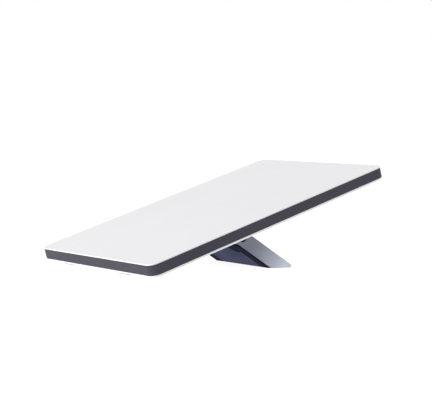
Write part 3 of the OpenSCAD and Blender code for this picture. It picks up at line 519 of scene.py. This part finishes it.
def makeCover():
    step, top, rim = panel["rimStep"], panel["bandBottom"], panel["rimBottom"]
    skirt, depth = cover["skirt"], panel["depth"]
    grooveIn, grooveOut = cover["groove"]
    innerDepth = skirtDepth(18) - cover["wall"] * 1.05
    floorOut, draft = top + cover["grooveDepth"], 0.03     # bridged rings never share a height
    points = [(skirt + 3, depth - cover["wall"], cover["plateauCorner"]), (18, innerDepth, 2), (18, top, 2),
              (grooveOut, top + draft, 4.3), (grooveOut, floorOut - draft, 4.3), (grooveIn, floorOut, 6.1),
              (grooveIn, top + 2 * draft, 6.1), (step + 0.4, top + draft, 16.8), (step, top + 0.4, 17.2),
              (step, rim - 1.2, 17.2), (step + 0.15, rim - 0.7, 17.0), (step + 0.5, rim - 0.25, 16.7)]
    for inset in (step + 1.1, step + 2.2, skirt - cover["turn"]):
        points.append((inset, skirtDepth(inset), coverCorner(inset)))
    turn = cover["turn"]
    for share in (0.25, 0.5, 0.75, 1):
        a, b, c = (1 - share) ** 2, 2 * share * (1 - share), share ** 2
        inset = a * (skirt - turn) + b * skirt + c * (skirt + turn)
        points.append((inset, a * skirtDepth(skirt - turn) + (b + c) * depth, coverCorner(inset)))
    sections = [(inset, corner, level) for inset, level, corner in points]
    return loft((panel["length"], panel["width"]), sections, (panel["length"] / 2, 0), steps=14)


def coverHoles():
    seat, low = coverScrew["seat"], panel["depth"] + 5
    tools = []
    for x, y in coverScrewPlaces():
        rim = skirtDepth(coverScrew["inward"])
        tools.append(lathe([(0, -20), (coverScrew["hole"], -20), (coverScrew["hole"], -seat),
                            (coverScrew["headHole"], -seat), (coverScrew["headHole"], -rim),
                            (coverScrew["headHole"] + 4, -rim - 4), (0, -rim - 4)], 24, (x, y, 0)))
    for along in mountScrew["along"]:
        for side in (-1, 1):
            tools.append(lathe([(0, -30), (2.2, -30), (2.2, -low), (0, -low)], 20,
                               (panel["hingeX"] + along, side * mountScrew["side"], 0)))
    tools.append(lathe([(0, -30), (vent["radius"] + 0.3, -30), (vent["radius"] + 0.3, -low), (0, -low)], 36,
                       (vent["x"], vent["y"], 0)))
    half = socket["body"] / 2 + 0.3
    corners = [(socket["x"] + sideX * half, socket["y"] + sideY * half, 1.5)
               for sideX, sideY in ((-1, -1), (1, -1), (1, 1), (-1, 1))]
    tools.append(prism(corners, -low, -30))
    return gather(tools)


addPiece("backShell", combine(makeCover(), coverHoles()), panelPlace, "panel", "coverWhite", ["back_cover"])
print("panel shell ready")


# Cover screws: pan head with a six-sided recess
def screwHead(sizes):
    # head above z = 0, shank below; the recess opens upwards
    radius, height, shank = sizes["head"], sizes["headHigh"], sizes["shank"]
    length, recess = sizes["length"], sizes["recess"]
    head = lathe([(0, -length), (shank * 0.7, -length), (shank, -length + shank * 0.5), (shank, 0),
                  (radius * 0.97, 0), (radius, height * 0.15), (radius, height * 0.6),
                  (radius * 0.9, height * 0.88), (radius * 0.72, height), (0, height)], 24)
    tool = bmesh.new()
    bmesh.ops.create_cone(tool, cap_ends=True, segments=6, radius1=recess, radius2=recess, depth=height)
    bmesh.ops.translate(tool, vec=(0, 0, height), verts=tool.verts)
    return combine(head, tool)


def scatter(source, places):
    # copies of one small mesh; each place is a matrix
    mesh = asMesh(source)
    whole = bmesh.new()
    for place in places:
        copy = bmesh.new()
        copy.from_mesh(mesh)
        bmesh.ops.transform(copy, matrix=place, verts=copy.verts)
        placed = asMesh(copy)
        whole.from_mesh(placed)
        bpy.data.meshes.remove(placed)
    bpy.data.meshes.remove(mesh)
    return whole


headDown = Matrix.Rotation(math.radians(180), 4, "X")
places = [Matrix.Translation((x, y, -coverScrew["seat"])) @ headDown @ Matrix.Rotation(0.37 * index, 4, "Z")
          for index, (x, y) in enumerate(coverScrewPlaces())]
addPiece("coverScrewSet", scatter(screwHead(coverScrew), places), panelPlace, "panel", "screwSteel",
         ["cover_screws"])

# Cable socket: flange, chamfered mouth, blind cavity with a tongue and contact blades
bodySide = socket["body"]
outerSide = socket["body"] + 2 * socket["flange"]
sealTop = panel["depth"] + socket["seal"]
face = sealTop + socket["flangeThick"]
cavityFloor = face - socket["cavityDepth"]
mouthX, mouthY = socket["cavity"]
socketRings = [(mouthX, mouthY, 1.5, cavityFloor), (mouthX, mouthY, 1.5, face - 0.7),
               (mouthX + 1.4, mouthY + 1.4, 2.0, face), (outerSide - 5, outerSide - 5, 3.0, face - 0.02),
               (outerSide - 4.4, outerSide - 4.4, 3.0, face - 0.35), (outerSide - 1, outerSide - 1, 3.4, face - 0.37),
               (outerSide, outerSide, 3.8, face - 0.8), (outerSide, outerSide, 3.8, sealTop),
               (bodySide, bodySide, 1.5, sealTop - 0.02), (bodySide, bodySide, 1.5, 21.6)]
at = (socket["x"], socket["y"])
tongue = box((at[0] - 5, at[1] - 1.1, -face + 3.5), (at[0] + 5, at[1] + 1.1, -cavityFloor + 0.2), 0.3)
addPiece("socketHousing", gather([bridged(socketRings, at, steps=6), tongue]), panelPlace, "panel", "partBlack",
         ["cable_socket"])
blades = [box((at[0] + 2.4 * step - 0.5, at[1] + side * 1.75 - 0.5, -face + 5.5),
              (at[0] + 2.4 * step + 0.5, at[1] + side * 1.75 + 0.5, -cavityFloor + 0.2), 0.15)
          for step in (-1.5, -0.5, 0.5, 1.5) for side in (-1, 1)]
addPiece("socketBlades", gather(blades), panelPlace, "panel", "washerBronze")
sealOut, sealIn = outerSide - 1, bodySide + 0.3
seal = bridged([(sealOut, sealOut, 3.3, panel["depth"] + 0.02), (sealOut, sealOut, 3.3, sealTop - 0.04),
                (sealIn, sealIn, 1.6, sealTop - 0.02), (sealIn, sealIn, 1.6, panel["depth"])], at, steps=6, closed=True)
addPiece("socketGasket", seal, panelPlace, "panel", "padRubber", ["socket_seal"])


# Vent: a bored plug with slots round its lip
def makeVent():
    radius, bore, low = vent["radius"], vent["bore"], -vent["low"]
    lip, under, top = radius + vent["lip"], -panel["depth"], -panel["depth"] - vent["lipThick"]
    plug = lathe([(bore, low), (radius, low), (radius, under), (lip, under), (lip, top + 0.4), (lip - 0.4, top),
                  (bore + 0.6, top), (bore, top + 0.6), (bore, low)], 48, (vent["x"], vent["y"], 0))
    cuts = []
    for index in range(vent["slots"]):
        cut = box((radius - 0.8, -0.7, top - 0.3), (lip + 1, 0.7, top + 0.6))
        turn = Matrix.Rotation(math.radians(360 * (index + 0.5) / vent["slots"]), 4, "Z")
        bmesh.ops.transform(cut, matrix=Matrix.Translation((vent["x"], vent["y"], 0)) @ turn, verts=cut.verts)
        cuts.append(cut)
    return combine(plug, gather(cuts))


addPiece("ventCap", makeVent(), panelPlace, "panel", "partBlack", ["vent_plug"])

# Rest bumpers under the low edge, flat on the floor, with treads
bumper = dict(low=1.8, high=14.8, near=75.75, width=40, treads=4, proud=0.6)


def floorDepth(x):
    # how far below the top face the floor lies, under the low edge
    return panel["rimBottom"] + bumper["proud"] / math.cos(tilt) + (x - panel["rimStep"]) * math.tan(tilt)


def makeBumper():
    low, high = bumper["low"], bumper["high"]
    corners = [(low, -skirtDepth(low), 0.2), (low, -floorDepth(low), 0.2), (high, -floorDepth(high), 0.5),
               (high, -skirtDepth(high), 0.2)]
    pad = prism(corners, bumper["near"], bumper["near"] + bumper["width"], 0.4, 4, upright=True)
    grooves = []
    for index in range(bumper["treads"]):
        x = high - 2.2 - 2.6 * index
        grooves.append(box((x - 0.5, bumper["near"] - 1, -floorDepth(x) - 1),
                           (x + 0.5, bumper["near"] + bumper["width"] + 1, -floorDepth(x) + 0.5)))
    return combine(pad, gather(grooves))


addPiece("restBumpers", bothSides(makeBumper), panelPlace, "panel", "padRubber", ["rest_bumpers"])

# Mount rails: undercut lip, closed end, latch notch and screw seats
rail = dict(inner=45.8, lip=4, web=8.2, height=6.5, lipThick=2.5, low=-32, high=24, shoeEnd=22.3,
            notch=(-24.8, -19.2), notchDeep=5.2)
alongPanel = Matrix(((0, 0, 1, 0), (1, 0, 0, 0), (0, 1, 0, 0), (0, 0, 0, 1)))     # a section runs along x


def makeRail():
    inner, root, outerY = rail["inner"], rail["inner"] + rail["lip"], rail["inner"] + rail["lip"] + rail["web"]
    top, bottom = -panel["depth"], -panel["depth"] - rail["height"]
    under = bottom + rail["lipThick"]
    section = [(root, top, 0), (outerY, top, 0), (outerY, bottom, 1.2), (inner, bottom, 0.8), (inner, under, 0.3),
               (root, under, 0.5)]
    body = prism(section, rail["low"], rail["high"], 0.25, 5)
    bmesh.ops.transform(body, matrix=Matrix.Translation((panel["hingeX"], 0, 0)) @ alongPanel, verts=body.verts)
    x = panel["hingeX"]
    end = box((x + rail["shoeEnd"], inner + 0.05, bottom + 1.5),
              (x + rail["high"] - 0.05, root + 1, top - 0.05), 0.2)
    body = combine(body, end, "UNION")
    cuts = [box((x + rail["notch"][0], inner - 1, bottom - 1),
                (x + rail["notch"][1], root + 0.05, bottom + rail["notchDeep"]))]
    for along in mountScrew["along"]:
        cuts.append(lathe([(0, top + 1), (2.2, top + 1), (2.2, bottom + 2.5), (3.8, bottom + 2.5),
                           (3.8, bottom + 0.2), (4, bottom - 0.05), (4, bottom - 1), (0, bottom - 1)], 28,
                          (x + along, mountScrew["side"], 0)))
    return combine(body, gather(cuts))


addPiece("leftRail", makeRail(), panelPlace, "panel", "mountDark", ["left_mount_rail"])
addPiece("rightRail", mirrored(makeRail()), panelPlace, "panel", "mountDark", ["right_mount_rail"])
places = [Matrix.Translation((panel["hingeX"] + along, side * mountScrew["side"], -mountScrew["seat"])) @ headDown
          for along in mountScrew["along"] for side in (-1, 1)]
addPiece("railScrews", scatter(screwHead(mountScrew), places), panelPlace, "panel", "screwSteel", ["mount_screws"])


def softened(node, width, segments=2):
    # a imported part's own shape with its sharp edges eased, in millimetres
    bm = bmesh.new()
    bm.from_mesh(frame["nodes"][node].data)
    bmesh.ops.scale(bm, vec=(1000, 1000, 1000), verts=bm.verts)
    bmesh.ops.remove_doubles(bm, verts=bm.verts, dist=0.002)
    bmesh.ops.dissolve_limit(bm, angle_limit=math.radians(0.5), verts=bm.verts, edges=bm.edges)
    soften(bm, [edge for edge in bm.edges if abs(edge.calc_face_angle(0)) > 0.7], width, segments)
    return bm


inMetres = Matrix.Scale(0.001, 4)
addPiece("standShoe", softened("kickstand_shoe", 0.4), inMetres, "panel", "mountDark", ["kickstand_shoe"])
addPiece("latchPlunger", softened("latch_button", 0.35), inMetres, "latch", "buttonGrey", ["latch_button"])
print("mount ready")

# Stop pads on the plateau, where the cheeks' stop corners come to rest
cheek = dict(thick=3, boss=10, front=21.4, stopRound=8, toeRound=3.2, flange=2.4, edge=0.8, flangeIn=32,
             stripWidth=22, webTop=33, footRun=(10.1, 57.5, 53.3), footLow=6, footHigh=8.4)
stopPad = dict(near=76, far=84, thick=2.6, highEnd=2)
opened = legSlope + tilt
stopFlat = -cheek["front"] / math.sin(opened) - leg["rear"] / math.tan(opened)
stopStart = stopFlat + cheek["stopRound"] / math.tan(opened / 2) + 1


def makeStopPad():
    return box((panel["hingeX"] + stopStart, stopPad["near"], -panel["depth"] - stopPad["thick"]),
               (panel["hingeX"] - stopPad["highEnd"], stopPad["far"], -panel["depth"]), 0.5)


addPiece("stopPads", bothSides(makeStopPad), panelPlace, "panel", "padRubber", ["stop_pads"])

# Lock nuts: chamfered hexagon with a collar
nut = dict(radius=7.5, thick=5, hexThick=3.8, collar=6.1, bore=4.06, near=64.15)


def makeNut():
    hexagon = bmesh.new()
    bmesh.ops.create_cone(hexagon, cap_ends=True, segments=6, radius1=nut["radius"], radius2=nut["radius"],
                          depth=nut["hexThick"])
    bmesh.ops.translate(hexagon, vec=(0, 0, nut["hexThick"] / 2), verts=hexagon.verts)
    dome = lathe([(0, 0), (6.6, 0), (7.6, 0.6), (7.6, 3.2), (6.6, nut["hexThick"]), (0, nut["hexThick"])], 36)
    body = combine(hexagon, dome, "INTERSECT")
    collar = lathe([(0, 3), (nut["collar"], 3), (nut["collar"], nut["thick"] - 0.5), (5.4, nut["thick"]),
                    (0, nut["thick"])], 36)
    body = combine(body, collar, "UNION")
    body = combine(body, lathe([(0, -1), (nut["bore"], -1), (nut["bore"], 6), (0, 6)], 36))
    bmesh.ops.transform(body, matrix=Matrix.Translation((0, nut["near"], 0)) @ sideways, verts=body.verts)
    return body


hingePlace = panelPlace @ Matrix.Translation((panel["hingeX"], 0, -hingeDepth))
addPiece("lockNuts", bothSides(makeNut), hingePlace, "panel", "pinSteel", ["lock_nuts"])

# Leg cheeks: plate with eased edges, thick boss with the stop face, flanges for the web and the foot
webScrew = dict(first=41, lastUp=16, count=3, side=58, seat=19, hole=1.6, head=2.6, headHigh=1.6, shank=1.5,
                length=3.5, recess=1.2)
footFront = hinge.x + floorReach(-leg["front"], 0) * math.cos(legSlope) - leg["front"] * math.sin(legSlope)
screwLast = floorReach(-leg["front"], 0) - webScrew["lastUp"]
screwRun = [webScrew["first"] + (screwLast - webScrew["first"]) * index / (webScrew["count"] - 1)
            for index in range(webScrew["count"])]


def fromFloor(along, height):
    # a point of the leg frame from its place along the foot and its height
    x = footFront + along - hinge.x
    z = height - hinge.z
    return (x * math.cos(legSlope) - z * math.sin(legSlope), x * math.sin(legSlope) + z * math.cos(legSlope))


def stopLine(z):
    return (math.cos(opened) * z - leg["rear"]) / math.sin(opened)


def cheekPlan(low, high, edge):
    front, rear = cheek["front"], leg["rear"]
    return prism([(stopLine(-front), -front, cheek["stopRound"]), (floorReach(-front), -front, 1),
                  (floorReach(rear), rear, cheek["toeRound"]), (-rear * math.tan(opened / 2), rear, rear)],
                 low, high, edge, 14, upright=True)


def makeCheek():
    outerY, front = leg["halfWidth"], cheek["front"]
    innerY = outerY - cheek["thick"]
    plate = cheekPlan(innerY, outerY, cheek["edge"])
    bossIn, bossFront = outerY - cheek["boss"], -front + cheek["flange"]
    boss = combine(cheekPlan(bossIn, innerY + 0.9, 0.5), box((-40, bossIn - 1, bossFront), (0.05, outerY, 20), 0.4),
                   "INTERSECT")
    ring = lathe([(0, -0.4), (9.5, -0.4), (9.5, 6.6), (9, 7), (0, 7)], 48, (0, innerY, 0), upright=True)
    webTop, low, high = cheek["webTop"], cheek["footLow"], cheek["footHigh"]
    webFlange = prism([(webTop, -front, 0.3), (floorReach(-front), -front, 0.3),
                       (floorReach(bossFront), bossFront, 0.3), (webTop, bossFront, 0.3)],
                      outerY - cheek["flangeIn"], innerY + 0.5, 0.4, 4, upright=True)
    start, lowEnd, highEnd = cheek["footRun"]
    footFlange = prism([(*fromFloor(start, low), 0.3), (*fromFloor(lowEnd, low), 0.3),
                        (*fromFloor(highEnd, high), 0.3), (*fromFloor(start, high), 0.3)],
                       outerY - cheek["stripWidth"], innerY + 0.5, 0.4, 4, upright=True)
    body = plate
    for part in (boss, ring, webFlange, footFlange):
        body = combine(body, part, "UNION")
    holes = [lathe([(0, -1), (7, -1), (7, 3.9), (5.55, 3.9), (5.55, 12), (0, 12)], 40, (0, outerY, 0), upright=True)]
    for x in screwRun:
        holes.append(lathe([(0, -25), (webScrew["hole"], -25), (webScrew["hole"], -17), (0, -17)], 20,
                           (x, webScrew["side"], 0)))
    return combine(body, gather(holes))


addPiece("leftCheek", makeCheek(), legPlace, "leg", "legMetal", ["left_cheek"])
addPiece("rightCheek", mirrored(makeCheek()), legPlace, "leg", "legMetal", ["right_cheek"])

# Web between the cheeks, notched at its top corners
web = dict(top=6, half=62.7, notchIn=39, notchEnd=32, notchRound=14, front=-23.6, back=-21.4)


def makeWeb():
    low = floorReach(web["back"], 0) + 8
    side = [(web["top"], web["notchIn"], 3), (web["notchEnd"], web["notchIn"], web["notchRound"]),
            (web["notchEnd"], web["half"], 1), (low, web["half"], 0)]
    other = [(x, -y, radius) for x, y, radius in reversed(side)]
    body = cutAtFloor(prism(side + other, web["front"], web["back"], 0.4, 12), leg["footLift"])
    holes = gather([lathe([(0, -22.8), (1.55, -22.8), (1.55, -20), (0, -20)], 16, (x, end * webScrew["side"], 0))
                    for x in screwRun for end in (-1, 1)])
    return combine(body, holes)


addPiece("webSheet", makeWeb(), legPlace, "leg", "webMetalPaintedShade", ["web_panel"])

# Rubber edge strips with wide heads, grooved down their length; they are made wide, so their black also stands as
# painted shade along the cheeks' front edges
strip = dict(width=22, thick=2.6, headTop=2, headIn=43, headOut=81.9, headEnd=28, headRound=10, headThick=5,
             grooves=(68.5, 79.5))


def makeStrip():
    outerY, front = leg["halfWidth"], -leg["front"]
    back = front + strip["thick"]
    run = cutAtFloor(prism([(strip["headTop"], outerY - strip["width"], 0.8),
                            (floorReach(back, 0) + 8, outerY - strip["width"], 0),
                            (floorReach(back, 0) + 8, outerY, 0), (strip["headTop"], outerY, 1.5)],
                           front, back, 0.35, 5), leg["footLift"])
    headTop, headOut = strip["headTop"] + 0.05, strip["headOut"]
    head = prism([(headTop, strip["headIn"], 2), (strip["headEnd"], strip["headIn"], strip["headRound"]),
                  (strip["headEnd"], headOut, 1), (headTop, headOut, 1)], front + 0.05,
                 front + strip["headThick"], 0.4, 10)
    body = combine(run, head, "UNION")
    grooves = gather([box((34, y - 0.4, front - 1), (120, y + 0.4, front + 0.5)) for y in strip["grooves"]])
    return combine(body, grooves)


addPiece("leftStrip", makeStrip(), legPlace, "leg", "stripBlack", ["left_edge_strip"])
addPiece("rightStrip", mirrored(makeStrip()), legPlace, "leg", "stripBlack", ["right_edge_strip"])

# Hinge caps, each with a shallow dish
cap = dict(radius=10.4, proud=1.2, shift=(1.5, -3), plug=6.95)


def makeCap():
    radius, proud = cap["radius"], cap["proud"]
    disc = lathe([(0, -proud + 0.35), (radius - 3.4, -proud + 0.35), (radius - 2.6, -proud), (radius - 0.9, -proud),
                  (radius - 0.25, -proud + 0.2), (radius, -proud + 0.65), (radius, 0), (0, 0)], 56,
                 (cap["shift"][0], leg["halfWidth"], cap["shift"][1]), upright=True)
    plugPart = lathe([(0, -0.2), (cap["plug"], -0.2), (cap["plug"], 0.8), (cap["plug"] - 0.2, 1), (0, 1)], 40,
                     (0, leg["halfWidth"], 0), upright=True)
    return combine(disc, plugPart, "UNION")


addPiece("hingeCaps", bothSides(makeCap), legPlace, "leg", "stripBlack", ["hinge_caps"])

# Foot pads with treads, flat on the floor
footPlace = Matrix.Scale(0.001, 4) @ Matrix.Translation((footFront, 0, 0))
foot = dict(start=11.14, end=56.7, height=6, inner=63, outer=81.9, treads=7)


def makeFoot():
    pad = box((foot["start"], foot["inner"], 0), (foot["end"], foot["outer"], foot["height"]), 0.6)
    pitch = (foot["end"] - foot["start"]) / foot["treads"]
    cuts = [box((foot["start"] + pitch * (index + 0.5) - 0.8, foot["inner"] - 1, -1),
                (foot["start"] + pitch * (index + 0.5) + 0.8, foot["outer"] + 1, 1.1))
            for index in range(foot["treads"])]
    return combine(pad, gather(cuts))


addPiece("footPads", bothSides(makeFoot), footPlace, "leg", "padRubber", ["foot_pads"])

# Pull bar, waisted between its collars
grip = dict(radius=4, waist=3.4, waistEnd=60, collar=62, end=82, below=8)


def makeGrip():
    profile = [(grip["radius"], grip["collar"]), (grip["radius"], grip["end"]), (0, grip["end"])]
    half = [(grip["waist"], grip["waistEnd"])] + profile
    whole = [(radius, -height) for radius, height in reversed(half)] + half
    return lathe(whole, 40, (floorReach(-leg["front"], 0) + grip["below"], 0, 0), upright=True)


addPiece("pullGrip", makeGrip(), legPlace, "leg", "legMetal", ["pull_bar"])

# Web screws, driven from the rear
places = [Matrix.Translation((x, side * webScrew["side"], -webScrew["seat"])) for x in screwRun for side in (-1, 1)]
addPiece("webScrewSet", scatter(screwHead(webScrew), places), legPlace, "leg", "screwSteel", ["web_screws"])
print("leg ready")

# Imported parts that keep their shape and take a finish
kept = dict(radome_spacer="spacerFoam", patch_array="patchCopper", antenna_board="boardGreen",
            beamformer_chips="chipBlack", thermal_pads="thermalPad", heat_spreader="spreaderAlu",
            cover_gasket="gasketBlack", power_board="boardGreen", board_screws="screwSteel",
            power_components="partBlack", shield_cans="canTin", board_connector="connectorIvory",
            position_antenna="ceramicTan", latch_spring="pinSteel", hinge_pins="pinSteel",
            friction_washers="washerBronze", disc_springs="pinSteel", hinge_bushings="washerBronze")
for node, finish in kept.items():
    for materialSlot in frame["nodes"][node].material_slots:
        materialSlot.link = "OBJECT"
        materialSlot.material = finishes[finish]
print("inside parts finished")

# Floor and light
studio = dict(sky=0.7, backdrop=1.0, floorFill=0.88, floorSeen=0.93, floorHalf=20)
floorMesh = bpy.data.meshes.new("studioFloor")
plane = bmesh.new()
bmesh.ops.create_grid(plane, x_segments=1, y_segments=1, size=studio["floorHalf"])
plane.to_mesh(floorMesh)
plane.free()
floor = bpy.data.objects.new("studioFloor", floorMesh)
scene.collection.objects.link(floor)
floorMaterial = bpy.data.materials.new("studioFloor")
floorMaterial.use_nodes = True
floorShader = floorMaterial.node_tree.nodes["Principled BSDF"]
floorShader.inputs["Base Color"].default_value = (0.2, 0.2, 0.2, 1)
floorShader.inputs["Roughness"].default_value = 1
floorShader.inputs["Specular IOR Level"].default_value = 0
floorShader.inputs["Emission Color"].default_value = (1, 1, 1, 1)
floorTree = floorMaterial.node_tree
cameraRay = addNode(floorTree, "LightPath").outputs["Is Camera Ray"]
floorGlow = addNode(floorTree, "MapRange", {"Value": cameraRay, "To Min": studio["floorFill"],
                                            "To Max": studio["floorSeen"]})
floorTree.links.new(floorGlow.outputs["Result"], floorShader.inputs["Emission Strength"])
# clear from below, so that the underside can be looked at
fromBelow = addNode(floorTree, "NewGeometry").outputs["Backfacing"]
seeThrough = addNode(floorTree, "MixShader", {0: fromBelow, 1: floorShader.outputs["BSDF"],
                                              2: addNode(floorTree, "BsdfTransparent").outputs["BSDF"]})
floorTree.links.new(seeThrough.outputs["Shader"], floorTree.nodes["Material Output"].inputs["Surface"])
floorMesh.materials.append(floorMaterial)

world = bpy.data.worlds.new("studio")
scene.world = world
world.use_nodes = True
sky = world.node_tree
background = sky.nodes["Background"]
seen = addNode(sky, "LightPath").outputs["Is Camera Ray"]
strength = addNode(sky, "MapRange", {"Value": seen, "To Min": studio["sky"], "To Max": studio["backdrop"]})
background.inputs["Color"].default_value = (1, 1, 1, 1)
sky.links.new(strength.outputs["Result"], background.inputs["Strength"])

lamps = dict(
    lowEnd=dict(at=(-3.4, 0.9, 0.1), aim=(-0.25, 0, 0.05), size=1.6, power=150),
    overhead=dict(at=(1.1, -0.1, 2.4), aim=(0, 0, 0.1), size=2.4, power=19),
)
for name, lamp in lamps.items():
    light = bpy.data.lights.new(name, "AREA")
    light.shape = "SQUARE"
    light.size = lamp["size"]
    light.energy = lamp["power"]
    holder = bpy.data.objects.new(name, light)
    holder.location = lamp["at"]
    holder.rotation_euler = (Vector(lamp["aim"]) - Vector(lamp["at"])).to_track_quat("-Z", "Y").to_euler()
    scene.collection.objects.link(holder)

# a narrow lamp on the foot of the stand, fading up the cheek
footLamp = dict(at=(0.75, -1.1, 0.12), aim=(0.165, -0.085, -0.01), power=46, cone=10, softness=0.05)
footLight = bpy.data.lights.new("footLight", "SPOT")
footLight.energy = footLamp["power"]
footLight.spot_size = math.radians(footLamp["cone"])
footLight.spot_blend = 1.0
footLight.shadow_soft_size = footLamp["softness"]
spot = bpy.data.objects.new("footLight", footLight)
spot.location = footLamp["at"]
spot.rotation_euler = (Vector(footLamp["aim"]) - spot.location).to_track_quat("-Z", "Y").to_euler()
scene.collection.objects.link(spot)

view = dict(at=(-1.67846, -2.17028, 0.24752), turn=(87.160, -2.111, -37.678), lens=114.147)
lens = bpy.data.cameras.new("view")
lens.lens = view["lens"]
lens.sensor_width = 36
lens.clip_end = 60
camera = bpy.data.objects.new("view", lens)
camera.location = view["at"]
camera.rotation_euler = [math.radians(angle) for angle in view["turn"]]
scene.collection.objects.link(camera)
scene.camera = camera
scene.view_settings.view_transform = "Standard"
